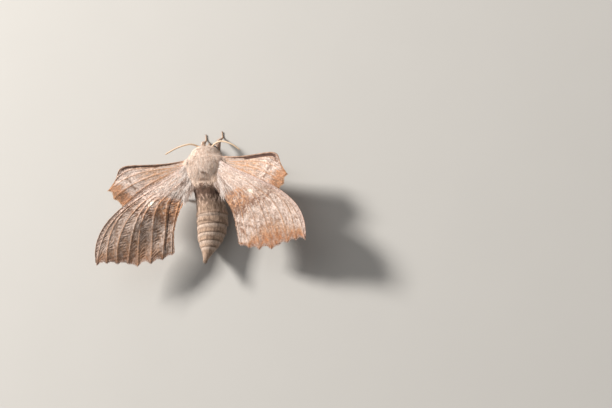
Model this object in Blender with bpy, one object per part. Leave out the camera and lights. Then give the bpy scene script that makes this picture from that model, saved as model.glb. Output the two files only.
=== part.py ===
"""Life-size poplar hawk moth at rest, standing on a flat floor.

Sizes below are in millimetres in the moth's own frame: x to its right, y towards its head,
z to its back, with the middle of the thorax at the origin. The meshes are written in metres,
with the floor at z = 0 and the bounding box centred on x = y = 0.
"""
import math

import bmesh
import bpy
from mathutils import Euler, Matrix, Vector

# General sizes
METRES_PER_MM = 0.001
JOINT_GAP = 0.3
FLOOR_Z = -9.05
SIDES = (("left", -1.0), ("right", 1.0))

# Thorax with its coat of fur
THORAX_HALF_WIDTH = 5.75
THORAX_TOP = 4.3
THORAX_BOTTOM = 4.4
THORAX_MID_Y = -0.5
THORAX_FRONT_LENGTH = 6.2
THORAX_REAR_LENGTH = 6.9
THORAX_FRONT_PLANE = 3.9
THORAX_REAR_PLANE = -5.75
THORAX_PLAN_POWER = 2.3
SHOULDER_BUMP = 0.09
SHOULDER_Y = 1.6
SHOULDER_ANGLE = math.radians(32)
THORAX_RINGS = 13
BODY_SIDES = 28
SECTION_POWER = 2.15

# Head with the ruff behind it, eyes and palps
HEAD_CENTRE = Vector((0.3, 5.2, -0.45))
HEAD_HALF_WIDTH = 2.9
HEAD_HALF_HEIGHT = 2.35
HEAD_FRONT_LENGTH = 1.4
HEAD_REAR_LENGTH = 3.4
RUFF_WIDTH = 1.2
RUFF_LENGTH = 2.3
HEAD_RINGS = 9
EYE_RADIUS = 1.2
EYE_OFFSET = Vector((2.45, 0.2, -0.6))
PALP_LENGTH = 2.2
PALP_RADIUS = 0.66
PALP_OFFSET = Vector((0.76, 1.05, -1.55))

# Abdomen: centre line stations as y, x, z and radius
ABDOMEN_STATIONS = (
    (-6.05, 0.05, -1.30, 3.95), (-9.4, 0.38, -2.50, 4.25), (-12.5, 0.60, -3.75, 4.70),
    (-15.7, 0.65, -4.45, 4.90), (-19.0, 0.40, -4.25, 4.55), (-22.2, 0.00, -3.40, 3.80),
    (-25.0, -0.23, -2.30, 2.55), (-28.0, -0.49, -0.90, 1.25), (-29.7, -0.74, 0.05, 0.62))
SEGMENT_EDGES = (-9.3, -11.9, -14.2, -17.1, -19.9, -22.5, -24.8)
SEGMENT_LIP = 1.022
SEGMENT_STEP = 0.972
SEGMENT_LIP_WIDTH = 0.30
BELLY_FLATTEN = 0.95

# Antennae, from the crown of the head out to the tips
ANTENNA_RADIUS = 0.31
ANTENNA_TIP_RADIUS = 0.16
ANTENNA_SIDES = 6
ANTENNA_STEPS = 3
ANTENNA_PATHS = {
    "left": ((-0.6, 5.5, -0.3), (-1.6, 6.35, 0.25), (-3.2, 7.0, 1.3), (-5.0, 7.0, 1.9),
             (-8.4, 6.2, 2.0), (-12.2, 4.8, 1.4)),
    "right": ((1.2, 5.2, -0.3), (2.3, 5.85, 0.25), (4.1, 6.6, 1.3), (6.3, 6.7, 1.9),
              (9.2, 5.4, 2.0), (11.8, 3.35, 1.4))}

# Wings: plate thickness, vein ridges and spacing under the forewing
WING_THICKNESS = 0.55
VEIN_RIDGE = 0.24
VEIN_SHOULDER = 0.42
PANEL_TROUGH = 0.07
WING_LAYER_SPACING = 1.2
FOREWING_ROWS = 17
HINDWING_ROWS = 13

# Wing outline and veins in the wing's plane: span outward, then forward
# Each vein has two curve controls, its tip, the notch after it and where it starts to stand up
FOREWING_ROOT = ((-2.0, 0.2), (-1.0, -4.5))
FOREWING_VEINS = (
    ("costa", (12.3, -0.8), (30.7, 11.9), (41.0, -1.0), 0.0, 0.00),
    ("radius", (17.2, -1.1), (25.8, 10.0), (41.3, -1.7), 0.5, 0.00),
    ("radial_5", (18.1, -2.0), (24.3, 10.1), (38.9, -3.5), 0.5, 0.55),
    ("medial_1", (10.8, -3.6), (23.0, 7.5), (37.0, -5.7), 0.5, 0.45),
    ("medial_2", (17.5, -3.5), (14.9, 5.5), (34.8, -7.8), 0.3, 0.48),
    ("medial_3", (18.2, -3.8), (16.4, 3.9), (33.5, -10.3), 1.0, 0.50),
    ("cubital_1", (18.0, -4.2), (13.3, 1.3), (30.3, -12.7), 0.8, 0.00),
    ("cubital_2", (17.6, -4.2), (10.5, -2.8), (27.0, -14.3), 0.5, 0.45),
    ("anal", (9.2, -4.9), (16.4, -8.6), (23.9, -15.2), 0.0, 0.05),
    ("inner_edge", (12.4, -8.9), (14.9, -7.3), (23.0, -15.3), 0.0, 0.05))
HINDWING_ROOT = ((-2.0, 0.2), (-1.0, -4.6))
HINDWING_VEINS = (
    ("costa", (12.2, -0.6), (19.6, 5.5), (21.3, 1.2), 0.1, 0.00),
    ("subcosta", (10.5, -1.2), (17.4, 4.0), (22.6, -0.6), 0.7, 0.00),
    ("radial", (8.5, -2.0), (15.0, 2.2), (25.4, -3.1), 0.8, 0.10),
    ("medial_1", (7.7, -1.8), (15.4, -1.5), (24.6, -5.8), 0.6, 0.40),
    ("medial_3", (6.8, -2.0), (15.5, -4.6), (22.9, -8.6), 0.6, 0.40),
    ("cubital_1", (6.7, -2.6), (13.6, -7.0), (20.4, -11.3), 0.6, 0.05),
    ("cubital_2", (5.6, -3.5), (11.3, -9.5), (17.4, -13.6), 0.5, 0.30),
    ("anal", (4.4, -5.1), (8.6, -11.2), (14.0, -15.2), 0.2, 0.05),
    ("inner_edge", (3.0, -5.9), (5.8, -11.5), (11.0, -15.6), 0.0, 0.05))

# Wing posture: sweep back, rise towards the tip and tilt of the leading edge, in degrees
FOREWING_HINGE = Vector((4.6, 1.5, 2.0))
HINDWING_HINGE = Vector((4.6, 2.5, 0.8))
FOREWING_POSE = {"left": (45.5, 12.0, 6.0), "right": (44.5, 12.0, 2.0)}
HINDWING_POSE = {"left": (13.6, 11.0, 0.0), "right": (17.0, 11.0, 0.0)}
FOREWING_ARCH = 1.9
FOREWING_ARCH_SPAN = 17.0
FOREWING_ARCH_CHORD = 9.0
HINDWING_RISE = 2.2

# Legs: joints as distance out from the middle line, y and z, then radii at the same joints
LEG_SIDES = 8
FOOT_SINK = 0.12
LEGS = {
    "front": (
        {"left": ((0.6, 3.0, -2.8), (1.7, 5.4, -4.9), (1.6, 8.3, -4.0), (1.75, 10.3, -6.9),
                  (1.95, 11.4, -8.55), (2.05, 13.0, -8.72)),
         "right": ((1.4, 3.0, -2.8), (2.4, 5.4, -4.9), (3.4, 8.6, -4.0), (3.4, 10.6, -6.9),
                   (3.3, 11.7, -8.55), (3.2, 13.4, -8.72))},
        (0.95, 0.85, 0.72, 0.52, 0.36, 0.28)),
    "mid": (
        {"both": ((1.8, -0.4, -3.0), (4.3, 0.3, -5.2), (8.0, 1.9, -4.3), (9.9, 2.7, -7.0),
                  (10.9, 3.3, -8.55), (12.7, 4.4, -8.72))},
        (0.95, 0.85, 0.70, 0.52, 0.36, 0.28)),
    "hind": (
        {"both": ((1.8, -2.9, -3.0), (4.6, -4.2, -5.3), (8.2, -5.2, -4.6), (10.2, -5.9, -7.1),
                  (11.3, -6.4, -8.55), (13.1, -7.4, -8.72))},
        (0.95, 0.85, 0.70, 0.52, 0.36, 0.28))}
LEG_STEPS = 3

# Plain colours of the materials
COLOURS = {
    "thorax_fur": (0.72, 0.60, 0.52, 1.0),
    "head_fur": (0.74, 0.62, 0.54, 1.0),
    "abdomen_fur": (0.56, 0.46, 0.38, 1.0),
    "forewing_scales": (0.62, 0.46, 0.38, 1.0),
    "hindwing_scales": (0.58, 0.48, 0.40, 1.0),
    "eye": (0.05, 0.03, 0.025, 1.0),
    "palp_fur": (0.60, 0.42, 0.32, 1.0),
    "antenna": (0.85, 0.78, 0.66, 1.0),
    "leg_scales": (0.62, 0.44, 0.30, 1.0)}


def clear_scene():
    """Remove every object, so that the script starts from an empty scene."""
    for item in list(bpy.data.objects):
        bpy.data.objects.remove(item, do_unlink=True)


def smooth(value):
    """Smooth step from 0 to 1 over the unit range."""
    value = min(1.0, max(0.0, value))
    return value * value * (3.0 - 2.0 * value)


def signed_power(value, power):
    """Power that keeps the sign of its base."""
    return math.copysign(abs(value) ** power, value)


def spline(points, steps):
    """Points of a smooth curve through the given points, with equal steps between them."""
    ends = [points[0] * 2 - points[1]] + list(points) + [points[-1] * 2 - points[-2]]
    curve = []
    for index in range(1, len(ends) - 2):
        before, start, end, after = ends[index - 1:index + 3]
        for step in range(steps):
            t = step / steps
            curve.append(0.5 * (start * 2 + (end - before) * t
                                + (before * 2 - start * 5 + end * 4 - after) * t ** 2
                                + (start * 3 - before - end * 3 + after) * t ** 3))
    curve.append(points[-1].copy())
    return curve


def make_material(name):
    """Plain principled material of the given name."""
    material = bpy.data.materials.new(name)
    material.use_nodes = True
    shader = material.node_tree.nodes["Principled BSDF"]
    shader.inputs["Base Color"].default_value = COLOURS[name]
    shader.inputs["Roughness"].default_value = 0.25 if name == "eye" else 0.85
    material.diffuse_color = COLOURS[name]
    return material


def solid(name, points, faces, material=None):
    """Closed mesh object from millimetre points, with its faces turned outward."""
    mesh = bpy.data.meshes.new(name)
    mesh.from_pydata([point * METRES_PER_MM for point in points], [], faces)
    shape = bmesh.new()
    shape.from_mesh(mesh)
    bmesh.ops.recalc_face_normals(shape, faces=shape.faces[:])
    shape.to_mesh(mesh)
    shape.free()
    item = bpy.data.objects.new(name, mesh)
    bpy.context.collection.objects.link(item)
    if material is not None:
        mesh.materials.append(material)
    return item


def loft(rings, start_cap, end_cap):
    """Points and faces of a closed skin over rings of equal count, with a point at each end."""
    count = len(rings[0])
    points = [point for ring in rings for point in ring] + [start_cap, end_cap]
    first, last = len(points) - 2, len(points) - 1
    faces = []
    for ring in range(len(rings) - 1):
        for side in range(count):
            near, far = ring * count, (ring + 1) * count
            after = (side + 1) % count
            faces.append((near + side, near + after, far + after, far + side))
    final = (len(rings) - 1) * count
    for side in range(count):
        after = (side + 1) % count
        faces.append((first, after, side))
        faces.append((last, final + side, final + after))
    return points, faces


def tube(path, radii, sides, turn=0.0):
    """Points and faces of a closed tube along a path."""
    rings = []
    up = Vector((0.0, 0.0, 1.0))
    for index, point in enumerate(path):
        ahead = path[min(index + 1, len(path) - 1)]
        behind = path[max(index - 1, 0)]
        along = (ahead - behind).normalized()
        across = along.cross(up).normalized()
        lift = across.cross(along)
        ring = []
        for side in range(sides):
            angle = 2.0 * math.pi * side / sides + turn
            ring.append(point + (across * math.cos(angle) + lift * math.sin(angle)) * radii[index])
        rings.append(ring)
    return loft(rings, path[0], path[-1])


def cut(item, cutter):
    """Take the cutter's solid away from the item's solid and remove the cutter."""
    modifier = item.modifiers.new("cut", "BOOLEAN")
    modifier.operation = "DIFFERENCE"
    modifier.solver = "EXACT"
    modifier.object = cutter
    graph = bpy.context.evaluated_depsgraph_get()
    result = bpy.data.meshes.new_from_object(item.evaluated_get(graph))
    item.modifiers.clear()
    old = item.data
    item.data = result
    result.name = old.name
    bpy.data.meshes.remove(old)


def remove(item):
    """Remove a helper object and its mesh."""
    mesh = item.data
    bpy.data.objects.remove(item, do_unlink=True)
    bpy.data.meshes.remove(mesh)


def thorax_shape(grow):
    """Points and faces of the thorax, made larger all round by grow."""
    front, rear = THORAX_FRONT_PLANE + grow, THORAX_REAR_PLANE - grow
    rings = []
    for index in range(THORAX_RINGS):
        y = front + (rear - front) * index / (THORAX_RINGS - 1)
        inner = min(THORAX_FRONT_PLANE, max(THORAX_REAR_PLANE, y))
        reach = THORAX_FRONT_LENGTH if inner > THORAX_MID_Y else THORAX_REAR_LENGTH
        share = abs(inner - THORAX_MID_Y) / reach
        scale = (1.0 - share ** THORAX_PLAN_POWER) ** (1.0 / THORAX_PLAN_POWER)
        centre_z = -0.8 * smooth((THORAX_MID_Y - inner) / 6.0) - 0.35 * smooth((inner - 1.0) / 4.0)
        ring = []
        for side in range(BODY_SIDES):
            angle = 2.0 * math.pi * side / BODY_SIDES
            above = math.asin(abs(math.sin(angle))) if math.sin(angle) > 0 else -1.5
            bump = SHOULDER_BUMP * math.exp(-((inner - SHOULDER_Y) / 2.0) ** 2)
            bump *= math.exp(-((above - SHOULDER_ANGLE) / 0.45) ** 2)
            height = THORAX_TOP if math.sin(angle) > 0 else THORAX_BOTTOM
            wide = THORAX_HALF_WIDTH * scale * (1.0 + bump) + grow
            tall = height * scale * (1.0 + bump) + grow
            ring.append(Vector((wide * signed_power(math.cos(angle), 2.0 / SECTION_POWER), y,
                                centre_z + tall * signed_power(math.sin(angle), 2.0 / SECTION_POWER))))
        rings.append(ring)
    return loft(rings, Vector((0.0, front, -0.35)), Vector((0.0, rear, -0.8)))


def head_shape(grow):
    """Points and faces of the head, made larger all round by grow."""
    rear = THORAX_FRONT_PLANE + JOINT_GAP - grow
    front = HEAD_CENTRE.y + HEAD_FRONT_LENGTH
    rings = []
    for index in range(HEAD_RINGS):
        turn = index / (HEAD_RINGS - 1)
        y = rear + (front - rear) * math.sin(0.5 * math.pi * turn) * 0.985
        reach = HEAD_FRONT_LENGTH if y > HEAD_CENTRE.y else HEAD_REAR_LENGTH
        share = min(0.985, abs(y - HEAD_CENTRE.y) / reach)
        scale = (1.0 - share ** 2.2) ** (1.0 / 2.2)
        flare = RUFF_WIDTH * (1.0 - smooth((y - rear) / RUFF_LENGTH))
        ring = []
        for side in range(BODY_SIDES):
            angle = 2.0 * math.pi * side / BODY_SIDES
            ruff = flare * smooth((math.sin(angle) + 0.7) / 0.6)
            wide = HEAD_HALF_WIDTH * scale + ruff + grow
            tall = HEAD_HALF_HEIGHT * scale + 0.9 * ruff + grow
            ring.append(Vector((
                HEAD_CENTRE.x + wide * signed_power(math.cos(angle), 2.0 / SECTION_POWER),
                y + grow * turn,
                HEAD_CENTRE.z + tall * signed_power(math.sin(angle), 2.0 / SECTION_POWER))))
        rings.append(ring)
    return loft(rings, Vector((HEAD_CENTRE.x, rear, HEAD_CENTRE.z)),
                Vector((HEAD_CENTRE.x, front + grow, HEAD_CENTRE.z)))


def abdomen_line(y):
    """Centre, radius and direction of the abdomen at a distance y along the body."""
    stations = [Vector((x, y_at, z, radius)) for y_at, x, z, radius in ABDOMEN_STATIONS]
    curve = spline(stations, 8)
    y = min(curve[0].y, max(curve[-1].y, y))
    for index in range(len(curve) - 1):
        if curve[index].y >= y >= curve[index + 1].y:
            t = (curve[index].y - y) / (curve[index].y - curve[index + 1].y)
            here = curve[index].lerp(curve[index + 1], t)
            ahead = (curve[index + 1] - curve[index]).to_3d().normalized()
            return here.to_3d(), here.w, ahead
    here = curve[-1]
    return here.to_3d(), here.w, (curve[-1] - curve[-2]).to_3d().normalized()


def abdomen_shape():
    """Points and faces of the abdomen, with a small step behind each segment."""
    start, end = ABDOMEN_STATIONS[0][0], ABDOMEN_STATIONS[-1][0]
    stations = [(start, 1.0)]
    edges = SEGMENT_EDGES
    for index, edge in enumerate(edges):
        before = edges[index - 1] if index else start
        stations.append((0.5 * (before + edge), 1.0))
        stations.append((edge + SEGMENT_LIP_WIDTH, SEGMENT_LIP))
        stations.append((edge, SEGMENT_LIP))
        stations.append((edge - SEGMENT_LIP_WIDTH, SEGMENT_STEP))
    for share in (0.35, 0.65, 0.9, 1.0):
        stations.append((edges[-1] + (end - edges[-1]) * share, 1.0))
    rings = []
    for y, swell in stations:
        centre, radius, along = abdomen_line(y)
        tilt = smooth((start - y) / 6.0)
        normal = Vector((0.0, -1.0, 0.0)).lerp(along, tilt).normalized()
        across = normal.cross(Vector((0.0, 0.0, 1.0))).normalized()
        lift = across.cross(normal)
        ring = []
        for side in range(BODY_SIDES):
            angle = 2.0 * math.pi * side / BODY_SIDES
            flat = BELLY_FLATTEN if math.sin(angle) < 0 else 1.0
            reach = radius * swell
            point = centre + across * reach * math.cos(angle) + lift * reach * flat * math.sin(angle)
            point.z = max(point.z, FLOOR_Z)
            ring.append(point)
        rings.append(ring)
    tip, radius, along = abdomen_line(end)
    return loft(rings, abdomen_line(start)[0], tip + along * radius * 0.6)


def bezier(points, t):
    """Point of a cubic curve."""
    left = 1.0 - t
    return (points[0] * left ** 3 + points[1] * (3 * t * left ** 2)
            + points[2] * (3 * t * t * left) + points[3] * t ** 3)


def even_curve(points):
    """Function giving the curve's point at a share of its length."""
    samples = [bezier(points, step / 60) for step in range(61)]
    lengths = [0.0]
    for index in range(60):
        lengths.append(lengths[-1] + (samples[index + 1] - samples[index]).length)

    def at(share):
        goal = share * lengths[-1]
        for index in range(60):
            if lengths[index + 1] >= goal:
                t = (goal - lengths[index]) / (lengths[index + 1] - lengths[index])
                return samples[index].lerp(samples[index + 1], t)
        return samples[-1].copy()
    return at


def vein_curves(root, veins):
    """Curves of all veins of a wing, from its root line to the margin."""
    front, rear = Vector(root[0]), Vector(root[1])
    curves = []
    for index, (name, near, far, tip, notch, rise) in enumerate(veins):
        start = front.lerp(rear, index / (len(veins) - 1))
        curves.append(even_curve([start, Vector(near), Vector(far), Vector(tip)]))
    return curves


def wing_grid(root, veins, rows):
    """Rows of plane points with the height of the relief at each one."""
    curves = vein_curves(root, veins)
    grid = []
    for row in range(rows):
        share = row / (rows - 1)
        line = []
        for index, (name, near, far, tip, notch, rise) in enumerate(veins):
            here = curves[index](share)
            ridge = VEIN_RIDGE * smooth((share - rise) / 0.12 + 1.0) * (1.0 - 0.5 * share ** 4)
            line.append((here, ridge))
            if index == len(veins) - 1:
                break
            width = (curves[index + 1](share) - here).length
            edge = min(0.26, VEIN_SHOULDER / max(width, 0.01))
            for part, depth in ((edge, 0.35), (0.5, 1.0), (1.0 - edge, 0.35)):
                back = share * (1.0 - notch * depth / 30.0)
                point = curves[index](back).lerp(curves[index + 1](back), part)
                line.append((point, -PANEL_TROUGH if part == 0.5 else 0.0))
        grid.append(line)
    return grid


def wing_matrix(pose):
    """Rotation of a right wing from its plane to its posture."""
    sweep, rise, tilt = (math.radians(angle) for angle in pose)
    return (Matrix.Rotation(-rise, 3, "Y") @ Matrix.Rotation(tilt, 3, "X")
            @ Matrix.Rotation(-sweep, 3, "Z"))


def forewing_arch(point):
    """Height of the forewing's arch over its plane."""
    across = smooth((-point.y - 1.0) / FOREWING_ARCH_CHORD)
    lift = FOREWING_ARCH * smooth((point.x + 2.0) / (FOREWING_ARCH_SPAN + 2.0)) * (1.0 - across)
    return lift - 0.9 * smooth((point.x - 17.0) / 8.0) * smooth((-point.y - 11.5) / 4.0)


def hindwing_arch(point):
    """Height of the hindwing's arch over its plane."""
    return HINDWING_RISE * smooth(point.x / 24.0) * (1.0 - smooth((-point.y - 3.0) / 8.0))


def wing_point(point, hinge, matrix, arch):
    """Place of a plane point of a right wing in the moth's frame."""
    return hinge + matrix @ point.to_3d() + Vector((0.0, 0.0, arch(point)))


def forewing_height(place, side_name, costa):
    """Height of the forewing's middle surface over a place, raised ahead of its leading edge."""
    matrix = wing_matrix(FOREWING_POSE[side_name])
    flat = Matrix((matrix[0][:2], matrix[1][:2])).inverted()
    point = flat @ (place - FOREWING_HINGE).to_2d()
    ahead = 0.0
    if point.x > 0.0:
        nearest = min(costa, key=lambda edge: abs(edge.x - point.x))
        ahead = max(0.0, point.y - nearest.y - 0.8)
    return wing_point(point, FOREWING_HINGE, matrix, forewing_arch).z + 0.3 * ahead


def wing_surface(kind, side_name):
    """Grid of middle points and relief of a right-handed wing in its posture."""
    if kind == "forewing":
        matrix = wing_matrix(FOREWING_POSE[side_name])
        return [[(wing_point(point, FOREWING_HINGE, matrix, forewing_arch), relief)
                 for point, relief in line]
                for line in wing_grid(FOREWING_ROOT, FOREWING_VEINS, FOREWING_ROWS)]
    matrix = wing_matrix(HINDWING_POSE[side_name])
    front = vein_curves(FOREWING_ROOT, FOREWING_VEINS)[0]
    costa = [front(step / 40) for step in range(41)]
    surface = []
    for line in wing_grid(HINDWING_ROOT, HINDWING_VEINS, HINDWING_ROWS):
        placed = []
        for point, relief in line:
            place = wing_point(point, HINDWING_HINGE, matrix, hindwing_arch)
            limit = forewing_height(place, side_name, costa) - WING_LAYER_SPACING
            place.z = min(place.z, limit)
            placed.append((place, relief))
        surface.append(placed)
    return surface


def wing_solid(kind, side_name, side, material):
    """Closed wing plate with vein ridges on its upper face."""
    surface = wing_surface(kind, side_name)
    rows, columns = len(surface), len(surface[0])
    upper, lower = [], []
    for line in surface:
        for place, relief in line:
            spot = Vector((place.x * side, place.y, place.z))
            upper.append(spot + Vector((0.0, 0.0, 0.5 * WING_THICKNESS + relief)))
            lower.append(spot - Vector((0.0, 0.0, 0.5 * WING_THICKNESS)))
    under = len(upper)
    faces = []
    for row in range(rows - 1):
        for column in range(columns - 1):
            a = row * columns + column
            b, c, d = a + 1, a + columns + 1, a + columns
            faces += [(a, b, c), (a, c, d), (under + c, under + b, under + a),
                      (under + d, under + c, under + a)]
    border = [column for column in range(columns)]
    border += [row * columns + columns - 1 for row in range(1, rows)]
    border += [(rows - 1) * columns + column for column in range(columns - 2, -1, -1)]
    border += [row * columns for row in range(rows - 2, 0, -1)]
    for index, start in enumerate(border):
        end = border[(index + 1) % len(border)]
        faces.append((start, under + start, under + end))
        faces.append((start, under + end, end))
    return solid(f"{kind}_{side_name}", upper + lower, faces, material)


def leg_solid(pair, side_name, side, material):
    """One leg from its coxa to its foot, with the foot flat on the floor."""
    joints, radii = LEGS[pair]
    marks = joints.get(side_name) or joints["both"]
    path = [Vector((x * side, y, z)) for x, y, z in marks]
    path = spline([point.to_4d() for point in path], LEG_STEPS)
    path = [point.to_3d() for point in path]
    widths = []
    for index in range(len(path)):
        place = index / LEG_STEPS
        low = min(int(place), len(radii) - 2)
        widths.append(radii[low] + (radii[low + 1] - radii[low]) * (place - low))
    points, faces = tube(path, widths, LEG_SIDES, math.pi / LEG_SIDES)
    for point in points:
        if point.z < FLOOR_Z + FOOT_SINK:
            point.z = FLOOR_Z
    return solid(f"leg_{pair}_{side_name}", points, faces, material)


def ball(centre, radius, name, material=None):
    """Round solid."""
    rings = []
    for ring in range(1, 9):
        lift = math.pi * ring / 9
        rings.append([centre + Vector((math.sin(lift) * math.cos(2 * math.pi * side / 16),
                                       math.sin(lift) * math.sin(2 * math.pi * side / 16),
                                       math.cos(lift))) * radius for side in range(16)])
    points, faces = loft(rings, centre + Vector((0, 0, radius)), centre - Vector((0, 0, radius)))
    return solid(name, points, faces, material)


def palp_solid(side_name, side, material):
    """One palp, a short furry finger below the front of the head."""
    root = HEAD_CENTRE + Vector((PALP_OFFSET.x * side, PALP_OFFSET.y, PALP_OFFSET.z))
    aim = Euler((math.radians(-22), 0.0, math.radians(-8 * side))).to_matrix() @ Vector((0, 1, 0))
    path = [root + aim * (PALP_LENGTH * (step / 6 - 0.45)) for step in range(7)]
    radii = [PALP_RADIUS * math.sqrt(max(0.08, 1.0 - (step / 3 - 1.0) ** 2)) for step in range(7)]
    points, faces = tube(path, radii, 10)
    return solid(f"palp_{side_name}", points, faces, material)


def antenna_solid(side_name, material):
    """One slender antenna."""
    marks = [Vector(point).to_4d() for point in ANTENNA_PATHS[side_name]]
    path = [point.to_3d() for point in spline(marks, ANTENNA_STEPS)]
    last = len(path) - 1
    radii = [ANTENNA_RADIUS + (ANTENNA_TIP_RADIUS - ANTENNA_RADIUS) * (index / last) ** 2
             for index in range(last + 1)]
    points, faces = tube(path, radii, ANTENNA_SIDES)
    return solid(f"antenna_{side_name}", points, faces, material)


def build_body(materials):
    """Thorax, abdomen, eyes and the head with its eye sockets."""
    solid("thorax", *thorax_shape(0.0), materials["thorax_fur"])
    solid("abdomen", *abdomen_shape(), materials["abdomen_fur"])
    head = solid("head", *head_shape(0.0), materials["head_fur"])
    for side_name, side in SIDES:
        centre = HEAD_CENTRE + Vector((EYE_OFFSET.x * side, EYE_OFFSET.y, EYE_OFFSET.z))
        ball(centre, EYE_RADIUS, f"eye_{side_name}", materials["eye"])
        socket = ball(centre, EYE_RADIUS + JOINT_GAP, "socket")
        cut(head, socket)
        remove(socket)


def build_limbs(materials):
    """Wings, legs, antennae and palps, each cut to fit what it grows from."""
    thorax_cutter = solid("thorax_cutter", *thorax_shape(JOINT_GAP))
    head_cutter = solid("head_cutter", *head_shape(JOINT_GAP))
    for side_name, side in SIDES:
        for kind in ("forewing", "hindwing"):
            wing = wing_solid(kind, side_name, side, materials[f"{kind}_scales"])
            cut(wing, thorax_cutter)
        for pair in LEGS:
            leg = leg_solid(pair, side_name, side, materials["leg_scales"])
            cut(leg, thorax_cutter)
        cut(antenna_solid(side_name, materials["antenna"]), head_cutter)
        cut(palp_solid(side_name, side, materials["palp_fur"]), head_cutter)
    remove(thorax_cutter)
    remove(head_cutter)


def set_on_floor():
    """Put the floor at z = 0 and centre the bounding box on the origin."""
    points = [point.co for item in bpy.data.objects for point in item.data.vertices]
    middle_x = 0.5 * (min(point.x for point in points) + max(point.x for point in points))
    middle_y = 0.5 * (min(point.y for point in points) + max(point.y for point in points))
    shift = Matrix.Translation((-middle_x, -middle_y, -FLOOR_Z * METRES_PER_MM))
    for item in bpy.data.objects:
        item.data.transform(shift)


def main():
    clear_scene()
    materials = {name: make_material(name) for name in COLOURS}
    build_body(materials)
    build_limbs(materials)
    set_on_floor()


main()
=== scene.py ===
"""Looks of a life-size poplar hawk moth at rest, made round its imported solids.

Lengths named here are in millimetres in the moth's own frame, as in the solids: x to its right,
y towards its head, z to its back, with the middle of the thorax at the origin. Meshes are written
in metres in the frame of the solids, where the floor is z = 0.
"""
import math
from collections import namedtuple

import bpy
import numpy as np
from bpy.props import FloatProperty, FloatVectorProperty, IntProperty, PointerProperty
from mathutils import Matrix, Vector


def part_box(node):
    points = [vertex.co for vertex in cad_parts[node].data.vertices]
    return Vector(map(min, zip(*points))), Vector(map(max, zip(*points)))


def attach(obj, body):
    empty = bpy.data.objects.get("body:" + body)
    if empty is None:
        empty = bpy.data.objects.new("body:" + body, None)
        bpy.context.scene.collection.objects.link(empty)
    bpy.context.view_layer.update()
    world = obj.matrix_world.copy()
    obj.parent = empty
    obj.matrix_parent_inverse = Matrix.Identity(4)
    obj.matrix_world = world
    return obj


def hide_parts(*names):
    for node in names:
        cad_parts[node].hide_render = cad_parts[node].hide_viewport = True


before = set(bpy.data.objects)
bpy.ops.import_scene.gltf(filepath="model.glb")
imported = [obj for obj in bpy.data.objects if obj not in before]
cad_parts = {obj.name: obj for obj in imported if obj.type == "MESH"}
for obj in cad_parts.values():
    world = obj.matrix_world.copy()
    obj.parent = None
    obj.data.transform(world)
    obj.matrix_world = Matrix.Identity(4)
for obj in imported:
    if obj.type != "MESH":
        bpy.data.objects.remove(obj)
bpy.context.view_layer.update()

bl_info = {
    "name": "Poplar Hawk Moth",
    "version": (1, 0, 0),
    "blender": (4, 5, 0),
    "location": "View3D > Sidebar > Moth",
    "description": "Builds the skin, coat, wings and limbs of a resting poplar hawk moth",
    "category": "Add Mesh",
}

# The moth's frame in the solids' frame
MM = 0.001
THORAX_FRONT = 3.9
BODY_HEIGHT = 9.05
THORAX_LOW, THORAX_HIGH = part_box("thorax")
ORIGIN = np.array([0.5 * (THORAX_LOW.x + THORAX_HIGH.x), THORAX_HIGH.y - THORAX_FRONT * MM,
                   BODY_HEIGHT * MM])
Side = namedtuple("Side", "name sign index")
SIDES = (Side("left", -1.0, 0), Side("right", 1.0, 1))

# Photograph's view: angles of the camera to the moth's right, behind it, and its roll
IMAGE_WIDTH, IMAGE_HEIGHT = 612, 408
VIEW_RIGHT, VIEW_BEHIND, VIEW_ROLL = (math.radians(angle) for angle in (17.0, 18.4, -1.4))
VIEW_DISTANCE = 600.0
PIXELS_PER_MM = 3.3
MOTH_PIXEL = (204.8, 166.6)
SENSOR = 36.0

# Lamps: direction, distance and size in metres, power and colour
LAMPS = {"key_lamp": ((-0.72, 0.42, 0.62), 0.9, 0.20, 13.8, (1.0, 0.95, 0.89)),
         "fill_lamp": ((-0.25, 0.35, 1.0), 1.1, 0.70, 1.2, (1.0, 0.97, 0.94))}
AIR_COLOUR = (1.0, 0.965, 0.93, 1.0)
AIR_STRENGTH = 0.29
FLOOR_SIZE, FLOOR_SHADE = 3.0, 0.97
CLIP_START = 0.01

# Body: dark lines between segments, then place and radii of the fillings under the fur
RING_LINES = (-14.6, -17.8, -20.5, -23.0, -25.0)
FUR_BORDER = -5.9
THORAX_REAR = -5.75
ABDOMEN_END = -29.9
FACE_END = 8.0
WING_SPAN = 40.0
WING_REAR, WING_FRONT = -32.0, 10.0
FILLINGS = (((0.1, 3.3, -0.55), (5.0, 3.5, 3.95)),
            ((0.15, -5.1, -0.95), (4.5, 4.4, 3.72)),
            ((-4.9, 1.2, -0.3), (1.8, 2.0, 2.1)),
            ((5.6, 0.7, 0.0), (1.8, 2.0, 2.1)),
            ((-2.5, -4.8, 0.2), (2.2, 2.9, 2.2)),
            ((3.4, -4.6, 0.5), (2.2, 2.9, 2.2)))
SKIN_SWELL = 0.2
SKIN_VOXEL = 0.17
SKIN_LOWEST = 0.05 - BODY_HEIGHT
FLOOR_CLEARANCE = 0.02
LENS_RIM, LENS_RISE = 0.014, 0.010

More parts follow.
